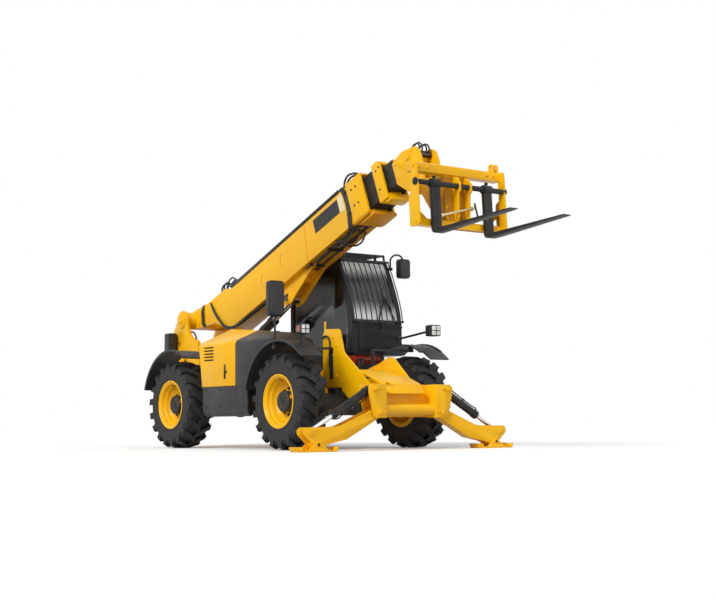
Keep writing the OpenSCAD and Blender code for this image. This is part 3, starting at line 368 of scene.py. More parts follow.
nodeFinish = {
    "yellow": ["chassis_frame", "counterweight", "nose_plates", "front_frame", "hood"],
    "black": ["cab_floor", "cab_front", "cab_right_wall", "cab_rear_wall", "cab_left_frame", "cab_guards",
              "cab_roof", "door", "lift_barrel"],
    "outer": ["boom_outer"],
    "carriage": ["carriage"],
    "middle": ["boom_mid"],
    "inner": ["boom_inner"],
    "red": ["valve_block"],
    "plastic": ["engine_tub", "front_cowl", "fuel_tank", "steering_console", "mudguards", "mirrors",
                "rear_lamps"],
    "cast": ["front_axle", "rear_axle", "engine"],
    "rubber": [],
    "pane": ["cab_panes", "door_pane"],
    "chrome": ["lift_rod"],
    "fork": ["fork_shaft"],
    "seat": ["seat"],
    "lamp": ["head_lamps"],
}
wheelFinish = {"yellow": "rim_", "rubber": "tyre_", "cast": "hub_"}
sideFinish = {"yellow": "stabiliser_", "black": "stab_barrel_", "chrome": "stab_rod_", "fork": "fork_"}
for finish, stem in wheelFinish.items():
    nodeFinish[finish] += [stem + corner for corner in corners]
for finish, stem in sideFinish.items():
    nodeFinish[finish] += [stem + "left", stem + "right"]
nodeFinish["cast"] += ["knuckle_" + corner for corner in corners]


def dressNodes():
    for finish, names in nodeFinish.items():
        for name in names:
            slots = nodes[name].data.materials
            for index in range(len(slots)):
                slots[index] = paint[finish]
            if len(slots) == 0:
                slots.append(paint[finish])


dressNodes()
print("frame nodes dressed")


# places on the machine

def placeAt(joint, turn):
    return Matrix.Translation(joints[joint]["pos_m"]) @ Matrix.Rotation(turn, 4, "Y")


ramAxis = Vector(joints["lift_ram_stroke"]["axis"])
boomPlace = placeAt("boom_lift", -math.atan2(boomAxis.z, boomAxis.x))
axlePlace = Matrix.Translation((frontAxleX, 0, 0))  # chassis sizes run from the front axle
placeOf = {
    "boom_outer": boomPlace, "boom_mid": boomPlace, "boom_inner": boomPlace,
    "carriage": placeAt("carriage_tilt", -carriageTilt),
    "lift_barrel": placeAt("lift_ram_swing", -math.atan2(ramAxis.z, ramAxis.x)),
    "chassis": axlePlace, "hood": axlePlace, "door": axlePlace,
}
sidePlane = ((1, 0, 0), (0, 0, 1))  # outline axes of a plate that is seen from the right
frontPlane = ((0, 1, 0), (0, 0, 1))
backPlane = ((0, -1, 0), (0, 0, 1))
mergeGap = 0.00002


# shapes shared by the pieces

def roundEdges(shape, edges, width, segments=2):
    bmesh.ops.bevel(shape, geom=list(edges), offset=width, offset_type="OFFSET", segments=segments, profile=0.5,
                    affect="EDGES", material=-1)


def softenEdges(shape, verts, width, segments=2):
    roundEdges(shape, {edge for vert in verts for edge in vert.link_edges}, width, segments)


def addBlock(shape, low, high, bevel=0.004, segments=2):
    low, high = Vector(low), Vector(high)
    place = Matrix.Translation((low + high) / 2) @ Matrix.Diagonal((*(high - low), 1))
    softenEdges(shape, bmesh.ops.create_cube(shape, size=1, matrix=place)["verts"], bevel, segments)


def addRod(shape, start, end, radius, bevel=0.0, segments=20, tip=None):
    start, end = Vector(start), Vector(end)
    along = end - start
    place = Matrix.Translation((start + end) / 2) @ along.to_track_quat("Z", "Y").to_matrix().to_4x4()
    made = bmesh.ops.create_cone(shape, cap_ends=True, segments=segments, radius1=radius, radius2=tip or radius,
                                 depth=along.length, matrix=place)["verts"]
    if bevel:
        caps = {face for vert in made for face in vert.link_faces if len(face.verts) == segments}
        roundEdges(shape, {edge for face in caps for edge in face.edges}, bevel)


def addBolt(shape, place, direction, size):  # hexagon head on its washer
    place, direction = Vector(place), Vector(direction).normalized()
    addRod(shape, place - direction * 0.002, place + direction * size * 0.3, size * 1.45, size * 0.1, 20)
    addRod(shape, place + direction * size * 0.25, place + direction * size * 1.0, size, size * 0.12, 6)


def addBolts(shape, spots, direction, size):
    for spot in spots:
        addBolt(shape, spot, direction, size)


def sideBolts(shape, spots, across, size):  # on both sides, heads outwards
    for hand in (1, -1):
        addBolts(shape, [(along, hand * across, up) for along, up in spots], (0, hand, 0), size)


def sideRods(shape, spot, inner, outer, radius, bevel, segments):
    along, up = spot
    for hand in (1, -1):
        addRod(shape, (along, hand * inner, up), (along, hand * outer, up), radius, bevel, segments)


def ringSpots(centre, radius, count, shift):
    turns = [math.tau * (index + shift) / count for index in range(count)]
    return [(centre[0] + radius * math.cos(turn), centre[1] + radius * math.sin(turn)) for turn in turns]


def addPlate(shape, outline, origin, plane, depth, bevel=0.003, segments=2):
    origin, first, second = Vector(origin), Vector(plane[0]), Vector(plane[1])
    corners = [shape.verts.new(origin + first * across + second * up) for across, up in outline]
    face = shape.faces.new(corners)
    grown = bmesh.ops.extrude_face_region(shape, geom=[face])["geom"]
    moved = [item for item in grown if isinstance(item, bmesh.types.BMVert)]
    bmesh.ops.translate(shape, verts=moved, vec=first.cross(second).normalized() * depth)
    softenEdges(shape, corners + moved, bevel, segments)


def roundOutline(width, height, radius, steps=5):
    points = []
    for cornerX, cornerY, start in ((1, 1, 0), (-1, 1, 90), (-1, -1, 180), (1, -1, 270)):
        for step in range(steps + 1):
            angle = math.radians(start + 90 * step / steps)
            points.append((cornerX * (width / 2 - radius) + radius * math.cos(angle),
                           cornerY * (height / 2 - radius) + radius * math.sin(angle)))
    return points


def spinProfile(shape, profile, steps):  # closed outline of radius and offset, about the Y axis
    ring = [shape.verts.new((0, offset, radius)) for radius, offset in profile]
    edges = [shape.edges.new((ring[index - 1], ring[index])) for index in range(len(ring))]
    bmesh.ops.spin(shape, geom=ring + edges, cent=(0, 0, 0), axis=(0, 1, 0), dvec=(0, 0, 0),
                   angle=math.tau, steps=steps, use_merge=True)


def linkPiece(name, data, finish, body):
    data.materials.append(paint[finish])
    piece = bpy.data.objects.new(name, data)
    scene.collection.objects.link(piece)
    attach(piece, body)
    return piece


def meshPiece(shape, name, finish, body, place, sharp):
    bmesh.ops.remove_doubles(shape, verts=shape.verts[:], dist=mergeGap)
    bmesh.ops.transform(shape, matrix=place, verts=shape.verts[:])
    bmesh.ops.recalc_face_normals(shape, faces=shape.faces[:])
    limit = math.radians(sharp)
    for edge in shape.edges:
        edge.smooth = len(edge.link_faces) == 2 and edge.calc_face_angle() < limit
    for face in shape.faces:
        face.smooth = True
    data = bpy.data.meshes.new(name)
    shape.to_mesh(data)
    shape.free()
    return linkPiece(name, data, finish, body)


def finishPiece(shape, name, finish, body, place=None, sharp=34):
    piece = meshPiece(shape, name, finish, body, place or placeOf[body], sharp)
    return piece


def roundPlate(name, finish, body, size, spot, plane, depth, bevel=0.003, segments=2):
    shape = bmesh.new()
    addPlate(shape, roundOutline(*size), spot, plane, depth, bevel, segments)
    finishPiece(shape, name, finish, body)


def layHoses(name, runs, radius, finish, body, place=None):
    data = bpy.data.curves.new(name, "CURVE")
    data.dimensions = "3D"
    data.bevel_depth = radius
    data.bevel_resolution = 3
    data.resolution_u = 8
    data.use_fill_caps = True
    for points in runs:
        spline = data.splines.new("BEZIER")
        spline.bezier_points.add(len(points) - 1)
        for knot, point in zip(spline.bezier_points, points):
            knot.co = (place or placeOf[body]) @ Vector(point)
            knot.handle_left_type = knot.handle_right_type = "AUTO"
    linkPiece(name, data, finish, body)


def softCopy(node, finish, bevel, sharp=30):  # the frame's own solid with rounded edges
    shape = bmesh.new()
    shape.from_mesh(nodes[node].data)
    bmesh.ops.remove_doubles(shape, verts=shape.verts[:], dist=mergeGap)
    bmesh.ops.dissolve_limit(shape, angle_limit=math.radians(0.6), verts=shape.verts[:], edges=shape.edges[:])
    if bevel:
        limit = math.radians(sharp)
        edges = [edge for edge in shape.edges if len(edge.link_faces) == 2 and edge.calc_face_angle() > limit]
        bmesh.ops.bevel(shape, geom=edges, offset=bevel, offset_type="OFFSET", segments=2, profile=0.5,
                        affect="EDGES", material=-1, clamp_overlap=True)
    bodies = frame["record"]["behaviour"]["bodies"]
    body = next(name for name, members in bodies.items() if node in members)
    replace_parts(meshPiece(shape, node + "_shell", finish, body, Matrix(), sharp), node)


# wheels

tyreSetup = {
    "lugs": 18,
    "steps": 96,
    "sidewall": [(0.301, 0.164), (0.3405, 0.171), (0.350, 0.180), (0.357, 0.189), (0.366, 0.190),
                 (0.371, 0.186), (0.402, 0.190), (0.450, 0.193), (0.476, 0.192), (0.481, 0.195),
                 (0.491, 0.195), (0.496, 0.189), (0.520, 0.180), (0.540, 0.165), (0.553, 0.144),
                 (0.560, 0.118), (0.562, 0.085)],  # radius and offset
    "trailing": [(0.034, -0.014), (-0.022, 0.052), (-0.078, 0.118), (-0.091, 0.160), (-0.096, 0.194)],
    "leading": [(0.098, -0.014), (0.046, 0.056), (-0.010, 0.128), (-0.020, 0.164), (-0.022, 0.194)],
    "draft": 0.008,
    "round": 0.011,
    "rolling": 0.607,
    "foot": 0.545,  # where a lug meets the carcass
    "pitch": 0.6,  # radius at which lug lengths are told
    "shoulder": 0.10,
    "shoulderSpan": 0.095,
    "crownDrop": 0.034,
    "footDrop": 0.06,
}


def tyreMesh(setup):
    def onTread(along, across, radius):
        turn = along / setup["pitch"]
        return (radius * math.sin(turn), across, radius * math.cos(turn))

    lug = bmesh.new()
    rims = []
    for grow, high in ((0.0, True), (setup["draft"], False)):
        outline = [(along - grow, across) for along, across in setup["trailing"]]
        outline += [(along + grow, across) for along, across in reversed(setup["leading"])]
        ring = []
        for along, across in outline:
            drop = max(0.0, (abs(across) - setup["shoulder"]) / setup["shoulderSpan"])
            crown = setup["rolling"] - setup["crownDrop"] * drop ** 1.8
            foot = setup["foot"] - setup["footDrop"] * drop ** 1.5
            spread = across - grow if across < 0 else across
            ring.append(lug.verts.new(onTread(along, spread, crown if high else foot)))
        rims.append(lug.faces.new(ring))
    bmesh.ops.bridge_loops(lug, edges=list(rims[0].edges) + list(rims[1].edges))
    roundEdges(lug, rims[0].edges, setup["round"])
    for vert in lug.verts:  # nothing stands out past the rolling radius
        inward = min(1.0, setup["rolling"] / math.hypot(vert.co.x, vert.co.z))
        vert.co = Vector((vert.co.x * inward, vert.co.y, vert.co.z * inward))
    lugData = bpy.data.meshes.new("lug")
    lug.to_mesh(lugData)
    lug.free()

    tyre = bmesh.new()
    wall = setup["sidewall"]
    spinProfile(tyre, wall + [(radius, -offset) for radius, offset in reversed(wall)], setup["steps"])
    for half in (1, -1):
        for index in range(setup["lugs"]):
            known = len(tyre.verts)
            tyre.from_mesh(lugData)
            tyre.verts.ensure_lookup_table()
            fresh = tyre.verts[known:]
            turn = math.tau * (index + (0 if half == 1 else 0.5)) / setup["lugs"]
            bmesh.ops.transform(tyre, verts=fresh,
                                matrix=Matrix.Rotation(turn, 4, "Y") @ Matrix.Diagonal((1, half, 1, 1)))
    data = bpy.data.meshes.new("tyre")
    tyre.to_mesh(data)
    tyre.free()
    bpy.data.meshes.remove(lugData)
    return data


rimSetup = {
    "profile": [(0.1325, 0.010), (0.203, 0.010), (0.213, 0.014), (0.254, 0.058), (0.260, 0.070),
                (0.2655, 0.102), (0.270, 0.108), (0.281, 0.112), (0.2865, 0.119), (0.290, 0.157),
                (0.295, 0.165), (0.311, 0.170), (0.318, 0.179), (0.324, 0.1845), (0.335, 0.1845),
                (0.340, 0.181), (0.340, 0.172), (0.300, 0.164), (0.300, -0.164), (0.340, -0.172),
                (0.340, -0.181), (0.335, -0.1845), (0.285, -0.1845), (0.285, 0.044), (0.262, 0.044),
                (0.204, -0.020), (0.1325, -0.020)],  # radius and offset
    "steps": 80,
    "nutSize": 0.017,
    "coverSize": 0.008,
    "nuts": 10,
    "nutCircle": 0.165,
    "coverBolts": 12,
    "coverCircle": 0.102,
}


def addWheel(corner, tyreData, setup):
    side = 1 if corner[1] == "l" else -1
    body = "wheel_" + corner
    place = Matrix.Translation(joints["spin_" + corner]["pos_m"]) @ Matrix.Diagonal((1, side, 1, 1))
    outward = (0, 1, 0)
    shape = bmesh.new()
    shape.from_mesh(tyreData)
    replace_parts(finishPiece(shape, "lugged_tyre_" + corner, "rubber", body, place, 40), "tyre_" + corner)
    shape = bmesh.new()
    spinProfile(shape, setup["profile"], setup["steps"])
    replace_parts(finishPiece(shape, "dished_rim_" + corner, "yellow", body, place, 46), "rim_" + corner)
    shape = bmesh.new()
    for along, up in ringSpots((0, 0), setup["nutCircle"], setup["nuts"], 0.5):
        addBolt(shape, (along, 0.010, up), outward, setup["nutSize"])
        addRod(shape, (along, 0.010, up), (along, 0.040, up), 0.010, 0.002, 12)
    finishPiece(shape, "wheel_nuts_" + corner, "cast", body, place)
    shape = bmesh.new()
    ring = ringSpots((0, 0), setup["coverCircle"], setup["coverBolts"], 0)
    addBolts(shape, [(along, 0.115, up) for along, up in ring], outward, setup["coverSize"])
    addRod(shape, (0, 0.107, 0), (0, 0.114, 0), 0.040, 0.003, 28)
    addBolt(shape, (0, 0.112, 0), outward, 0.014)
    finishPiece(shape, "hub_cover_bolts_" + corner, "cast", body, place)
    shape = bmesh.new()
    addBlock(shape, (0.128, 0.052, 0.035), (0.140, 0.090, 0.078), 0.003)
    finishPiece(shape, "hub_tab_" + corner, "yellow", body, place)
    shape = bmesh.new()
    addRod(shape, (0.0, 0.100, 0.255), (0.0, 0.150, 0.272), 0.005, 0.001, 12)
    addRod(shape, (0.0, 0.148, 0.2713), (0.0, 0.165, 0.277), 0.008, 0.002, 12)
    finishPiece(shape, "tyre_valve_" + corner, "steel", body, place)


tyreData = tyreMesh(tyreSetup)
for corner in corners:
    addWheel(corner, tyreData, rimSetup)
bpy.data.meshes.remove(tyreData)
print("wheels built")


# the frame's own solids with rounded edges

softNodes = {  # edge radius and nodes
    0.0: ["lift_rod", "stab_rod_left", "stab_rod_right", "cab_guards"],
    0.002: ["hub_fl", "hub_fr", "hub_rl", "hub_rr", "stab_barrel_left", "stab_barrel_right", "fork_shaft"],
    0.003: ["lift_barrel", "stabiliser_left", "stabiliser_right", "carriage", "boom_mid", "boom_inner",
            "nose_plates", "front_frame", "chassis_frame", "cab_front"],
    0.004: ["mudguards", "fork_left", "fork_right", "boom_outer", "front_axle", "rear_axle",
            "steering_console"],
    0.005: ["head_lamps", "rear_lamps", "engine_tub"],
    0.006: ["hood", "front_cowl", "cab_roof", "mirrors", "fuel_tank"],
    0.008: ["counterweight"],
}
finishOf = {node: finish for finish, members in nodeFinish.items() for node in members}
for bevel, members in softNodes.items():
    for node in members:
        softCopy(node, finishOf[node], bevel)
print("frame solids softened")


# boom

boomSetup = {
    "side": 0.195,
    "skin": 0.002,  # thickness of the two panels
    "collarSide": 0.215,
    "collarBolts": [(4.33, -0.135), (4.425, -0.135), (4.32, -0.36), (4.41, -0.36)],
    "collarTop": [(4.30, 0.13), (4.48, 0.13), (4.30, -0.13), (4.48, -0.13)],
    "midSide": 0.175,
    "midBolts": [(4.83, -0.14), (4.90, -0.12), (4.82, -0.40)],
    "tray": (1.35, 4.05),
    "clamps": [1.62, 2.2, 2.8, 3.4, 3.95],
    "bellyClamps": [3.05, 3.5, 4.19],
    "sideClamps": [(4.14, -0.12), (4.13, -0.42)],
    "panel": (3.392, 3.982, -0.278, -0.081),
    "pale": (3.990, 4.096, -0.286, -0.060),
    "welds": [[(3.184, -0.030), (3.14, -0.29), (3.095, -0.550)],
              [(2.55, -0.14), (2.50, -0.20), (2.49, -0.27), (2.52, -0.34)],
              [(2.02, -0.20), (1.97, -0.26), (1.96, -0.33), (1.99, -0.40)]],
}

boomHoses = {  # runs of along, up in lanes across, or of along, across, up
    "lanes": [-0.178, -0.148, -0.118, -0.088],
    "top": [(1.25, 0.0), (1.40, -0.011), (2.3, -0.011), (3.3, -0.011), (4.02, -0.011), (4.12, -0.004)],
    "loops": [(-0.150, 0.120), (-0.112, 0.095)],  # lane and height over the collar
    "side": [(4.07, -0.155, -0.006), (4.13, -0.190, 0.006), (4.18, -0.2075, -0.05), (4.207, -0.2075, -0.20),
             (4.200, -0.2075, -0.36), (4.165, -0.2075, -0.52), (4.145, -0.200, -0.575), (4.10, -0.150, -0.588),
             (4.00, -0.110, -0.590)],
    "sideSteps": (0.0, 0.027, 0.054),
    "pipeLanes": (-0.12, -0.09, -0.06, 0.03, 0.06),
    "pipe": [(2.92, -0.560), (2.96, -0.569), (3.2, -0.569), (3.9, -0.569), (4.24, -0.569)],
    "belly": [(-0.16, 3.95, -0.630), (-0.135, 3.80, -0.645), (-0.02, 3.90, -0.635), (0.11, 3.85, -0.630)],
    "heelDrops": (0.0, 0.034),
    "pivot": [(0.40, -0.186, 0.085), (0.375, -0.211, 0.02), (0.33, -0.212, -0.12), (0.318, -0.212, -0.18),
              (0.335, -0.184, -0.225)],
    "pivotSteps": (0.0, 0.036),
    "junctionLanes": [(-0.155, 0.0), (-0.115, 0.03), (-0.075, 0.01)],  # lane and rise
    "junctionTop": [(1.23, -0.115, 0.085), (1.20, -0.115, 0.15), (1.13, -0.12, 0.175), (1.06, -0.13, 0.145),
                    (1.02, -0.135, 0.080), (1.01, -0.135, 0.040)],
}


def laneRun(lane, path):
    return [(along, lane, up) for along, up in path]


def steppedRuns(path, steps):  # the same run again, each a step farther back
    return [[(along - step, across, up) for along, across, up in path] for step in steps]


def layBoomHoses(setup):
    runs = [laneRun(lane, setup["top"]) for lane in setup["lanes"]]
    for lane, top in setup["loops"]:
        runs.append(laneRun(lane, [(4.02, -0.011), (4.12, 0.010), (4.175, top * 0.7), (4.25, top),
                                   (4.36, top * 0.8), (4.45, 0.045), (4.49, -0.006)]))
    layHoses("top_hoses", runs, 0.0135, "hose", "boom_outer")
    layHoses("side_hoses", steppedRuns(setup["side"], setup["sideSteps"]), 0.0115, "hose", "boom_outer")
    runs = [laneRun(lane, setup["pipe"]) for lane in setup["pipeLanes"]]
    layHoses("belly_pipes", runs, 0.010, "steel", "boom_outer")
    runs = []
    for lane, reach, low in setup["belly"]:
        runs.append([(reach - 0.22, lane, -0.566), (reach - 0.16, lane, -0.590),
                     (reach - 0.06, lane + 0.01, low), (reach + 0.04, lane + 0.02, low),
                     (reach + 0.13, lane + 0.01, -0.592), (reach + 0.18, lane, -0.566)])
    layHoses("belly_hoses", runs, 0.0125, "hose", "boom_outer")
    runs = []
    for drop in setup["heelDrops"]:  # from the heel down to the belly
        runs.append([(0.60, -0.205, 0.020), (0.63, -0.212, -0.055 - drop), (0.73, -0.212, -0.28 - drop),
                     (0.90, -0.209, -0.500 - drop * 0.8), (1.10, -0.185, -0.572 - drop * 0.3),
                     (1.40, -0.16 + drop, -0.570), (1.90, -0.14 + drop, -0.570),
                     (2.12, -0.13 + drop, -0.566)])
    runs += steppedRuns(setup["pivot"], setup["pivotSteps"])
    layHoses("heel_hoses", runs, 0.0145, "hose", "boom_outer")
    runs = [[(1.13, lane, 0.045), (1.08, lane, 0.07 + rise), (1.03, lane, 0.125 + rise),
             (0.96, lane - 0.01, 0.135 + rise), (0.90, lane - 0.01, 0.095 + rise * 0.5),
             (0.885, lane - 0.01, 0.040)]
            for lane, rise in setup["junctionLanes"]]
    layHoses("junction_hoses", runs + [setup["junctionTop"]], 0.012, "hose", "boom_outer")


def sidePanel(name, finish, setup, edges):
    back, front, low, high = edges
    shape = bmesh.new()
    for level in (-setup["side"], setup["side"] + setup["skin"]):
        outline = [(back, low), (front, low), (front, high), (back, high)]
        addPlate(shape, outline, (0, level, 0), sidePlane, setup["skin"], 0.0008, 1)
    finishPiece(shape, name, finish, "boom_outer")


def dressBoom(setup):
    shape = bmesh.new()
    sideBolts(shape, setup["collarBolts"], setup["collarSide"], 0.011)
    addBolts(shape, [(along, across, -0.010) for along, across in setup["collarTop"]], (0, 0, 1), 0.014)
    finishPiece(shape, "collar_bolts", "steel", "boom_outer")
    shape = bmesh.new()
    sideBolts(shape, setup["midBolts"], setup["midSide"], 0.010)
    finishPiece(shape, "middle_collar_bolts", "steel", "boom_mid")

    back, front = setup["tray"]
    shape = bmesh.new()  # walls of the hose tray
    addBlock(shape, (back, -0.197, -0.030), (front, -0.191, 0.024), 0.002)
    addBlock(shape, (back, -0.075, -0.030), (front, -0.069, 0.012), 0.002)
    finishPiece(shape, "hose_tray", "black", "boom_outer")
    shape = bmesh.new()
    heads = bmesh.new()
    for along in setup["clamps"]:
        addBlock(shape, (along, -0.198, -0.026), (along + 0.045, -0.070, 0.006), 0.006)
        addBolts(heads, [(along + 0.0225, lane, 0.006) for lane in (-0.163, -0.103)], (0, 0, 1), 0.007)
    for along in setup["bellyClamps"]:
        addBlock(shape, (along, -0.150, -0.588), (along + 0.04, 0.085, -0.554), 0.005)
    for along, up in setup["sideClamps"]:
        addBlock(shape, (along, -0.222, up), (along + 0.075, -0.193, up + 0.035), 0.005)
        addBolt(heads, (along + 0.0375, -0.222, up + 0.0175), (0, -1, 0), 0.007)
    finishPiece(shape, "hose_clamps", "black", "boom_outer")
    finishPiece(heads, "clamp_bolts", "steel", "boom_outer")

    shape = bmesh.new()  # junction at the head of the tray
    addBlock(shape, (1.16, -0.185, -0.030), (1.31, -0.045, 0.070), 0.014, 3)
    addBlock(shape, (1.18, -0.165, 0.064), (1.29, -0.065, 0.090), 0.008)
    for lane, rise in boomHoses["junctionLanes"]:
        addRod(shape, (1.125, lane, 0.045), (1.165, lane, 0.045), 0.016, 0.003, 6)
    finishPiece(shape, "heel_junction", "plastic", "boom_outer")

    sidePanel("boom_dark_panel", "darkPanel", setup, setup["panel"])
    sidePanel("boom_pale_panel", "cream", setup, setup["pale"])
    seam = setup["side"] - 0.001
    runs = [laneRun(level, path) for level in (seam, -seam) for path in setup["welds"]]
    layHoses("side_welds", runs, 0.0045, "seam", "boom_outer")

    shape = bmesh.new()  # pin heads of the lift ram bracket
    sideRods(shape, (2.35, -0.74), 0.125, 0.140, 0.042, 0.004, 28)
    for level, depth in ((0.140, -0.008), (-0.132, 0.008)):
        addPlate(shape, roundOutline(0.13, 0.04, 0.018), (2.35, level, -0.70), sidePlane, depth, 0.002)
    sideBolts(shape, [(2.39, -0.70)], 0.147, 0.009)
    finishPiece(shape, "ram_pin_heads", "steel", "boom_outer")


headSetup = {
    "plate": 0.155,
    "boss": (5.43, -0.29),
    "bossSide": 0.159,
    "bolts": [(5.18, -0.25), (5.18, -0.44), (5.53, -0.25), (5.56, -0.46)],
    "tilt": (5.4965, -0.7495),
    "hoses": [(-0.07, 0.0), (-0.035, 0.02), (0.02, -0.012), (0.055, 0.01)],  # lane and extra height
}


def dressHead(setup):
    shape = bmesh.new()
    level = setup["bossSide"]
    sideRods(shape, setup["boss"], level, level + 0.012, 0.034, 0.004, 28)
    sideBolts(shape, ringSpots(setup["boss"], 0.047, 3, 0.24), level, 0.006)
    sideBolts(shape, setup["bolts"], setup["plate"], 0.012)
    sideRods(shape, setup["tilt"], 0.209, 0.216, 0.030, 0.002, 24)
    finishPiece(shape, "head_bolts", "yellow", "boom_inner")
    shape = bmesh.new()
    addBlock(shape, (5.35, -0.10, -0.215), (5.43, 0.10, -0.172), 0.006)
    addBlock(shape, (5.52, -0.117, -0.325), (5.585, 0.117, -0.265), 0.006)
    runs = []
    for lane, tall in setup["hoses"]:  # loops to the tool couplings
        addRod(shape, (5.395, lane, -0.178), (5.408, lane, -0.155), 0.014, 0.002, 6)
        runs.append([(5.40, lane, -0.200), (5.43, lane, -0.175 + tall), (5.49, lane, -0.152 + tall),
                     (5.56, lane * 1.1, -0.160 + tall), (5.607, lane * 1.2, -0.20 + tall * 0.5),
                     (5.603, lane * 1.2, -0.26), (5.56, lane * 1.1, -0.29)])
    layHoses("head_hoses", runs, 0.0105, "hose", "boom_inner")
    finishPiece(shape, "coupling_block", "steel", "boom_inner")


layBoomHoses(boomHoses)
dressBoom(boomSetup)
dressHead(headSetup)
print("boom dressed")


# carriage

carriageSetup = {
    "barStart": (0.565, -0.315, -0.465),
    "barEnd": (0.565, 0.185, -0.335),
    "barSize": 0.013,
    "forks": (-0.407, 0.407),
    "endBolts": [(0.55, 0.10), (0.55, -0.56)],
    "topBolts": (0.47, 0.58, -0.47, -0.58),
    "plateBolts": [(0.49, -0.165, -0.34), (0.49, -0.165, -0.47), (0.49, 0.225, -0.34), (0.49, 0.225, -0.47)],
    "welds": [(0.462, 0.20, 0.046), (0.462, 0.20, -0.25), (0.462, 0.20, -0.50)],
    "endWelds": [(0.521, 0.665, 0.05), (0.521, 0.664, -0.30), (0.521, 0.664, -0.50)],
}


def dressCarriage(setup):
    start, end = Vector(setup["barStart"]), Vector(setup["barEnd"])
    shape = bmesh.new()  # diagonal lock bar of the hitch
    addRod(shape, start, end, setup["barSize"], 0.003, 20)
    for spot in (start, end):
        addRod(shape, spot - Vector((0.03, 0, 0)), spot + Vector((0.022, 0, 0)), 0.021, 0.003, 20)
        addRod(shape, spot - Vector((0.105, 0, 0)), spot - Vector((0.02, 0, 0)), 0.012, 0.0, 16)
    finishPiece(shape, "hitch_lock_bar", "bright", "carriage")
    shape = bmesh.new()  # lever of the lock
    addRod(shape, end + Vector((0.026, 0.0, 0.055)), end + Vector((0.026, 0.045, -0.135)), 0.011, 0.003, 16)
    addRod(shape, end + Vector((0.026, 0.036, -0.10)), end + Vector((0.026, 0.052, -0.165)), 0.017, 0.006, 20)
    finishPiece(shape, "hitch_lock_lever", "plastic", "carriage")
    shape = bmesh.new()
    sideBolts(shape, setup["endBolts"], 0.69, 0.015)
    addBolts(shape, [(0.52, across, 0.10) for across in setup["topBolts"]], (1, 0, 0), 0.013)
    sideRods(shape, (0.0, 0.0), 0.2365, 0.245, 0.064, 0.004, 32)
    sideBolts(shape, ringSpots((0.0, 0.0), 0.062, 4, 0.5), 0.207, 0.006)
    addBolts(shape, setup["plateBolts"], (1, 0, 0), 0.012)
    finishPiece(shape, "carriage_bolts", "yellow", "carriage")
    shape = bmesh.new()  # locating collars of the forks and the blocks above them
    for across in setup["forks"]:
        for edge in (across - 0.082, across + 0.066):
            addRod(shape, (0.57, edge, -0.095), (0.57, edge + 0.016, -0.095), 0.044, 0.004, 28)
        addBlock(shape, (0.552, across - 0.018, -0.036), (0.588, across + 0.018, -0.006), 0.006)
    finishPiece(shape, "fork_collars", "fork", "carriage")
    runs = [[(along, hand * across, up) for along, across, up in path]
            for hand in (1, -1) for path in (setup["welds"], setup["endWelds"])]
    layHoses("carriage_welds", runs, 0.004, "yellow", "carriage")


dressCarriage(carriageSetup)
print("carriage dressed")


# rams

ramSetup = {
    "pipe": [(0.17, -0.094, 0.0), (0.19, -0.108, -0.022), (0.26, -0.094, -0.030), (0.5, -0.078, -0.030),
             (1.2, -0.078, -0.030), (1.78, -0.078, -0.030), (1.86, -0.084, -0.025), (1.92, -0.068, -0.010)],
    "bands": (0.55, 1.2, 1.7),
    "bandProfile": [(0.0685, -0.012), (0.073, -0.012), (0.073, 0.012), (0.0685, 0.012)],
}


def dressLiftRam(setup):
    layHoses("lift_ram_pipe", [setup["pipe"]], 0.009, "steel", "lift_barrel")
    shape = bmesh.new()
    for along in setup["bands"]:
        band = bmesh.new()
        spinProfile(band, setup["bandProfile"], 40)
        turned = Matrix.Translation((along, 0, 0)) @ Matrix.Rotation(math.radians(90), 4, "Z")
        bmesh.ops.transform(band, verts=band.verts[:], matrix=turned)
        data = bpy.data.meshes.new("band")
        band.to_mesh(data)
        band.free()
        shape.from_mesh(data)
        bpy.data.meshes.remove(data)
        addBlock(shape, (along - 0.014, -0.090, -0.046), (along + 0.014, -0.066, -0.014), 0.004)
    finishPiece(shape, "lift_ram_bands", "black", "lift_barrel")


stabiliserSetup = {
    "pipes": [[(0.0, 0.08, 0.053), (0.012, 0.10, 0.068), (0.018, 0.16, 0.064), (0.018, 0.35, 0.060),
               (0.018, 0.54, 0.062), (0.010, 0.585, 0.070), (0.0, 0.61, 0.054)],
              [(-0.03, 0.07, 0.044), (-0.045, 0.03, 0.075), (-0.055, -0.03, 0.085), (-0.06, -0.075, 0.06)]],
    "ports": (0.08, 0.61),
    "pins": [(0.49, 0.45, 0.036), (0.575, 0.735, 0.031)],  # across, up and radius
    "footBolts": [(1.2, 1.19, 0.021), (1.02, 1.19, 0.021), (1.2, 1.59, 0.021), (1.02, 1.59, 0.021)],
}


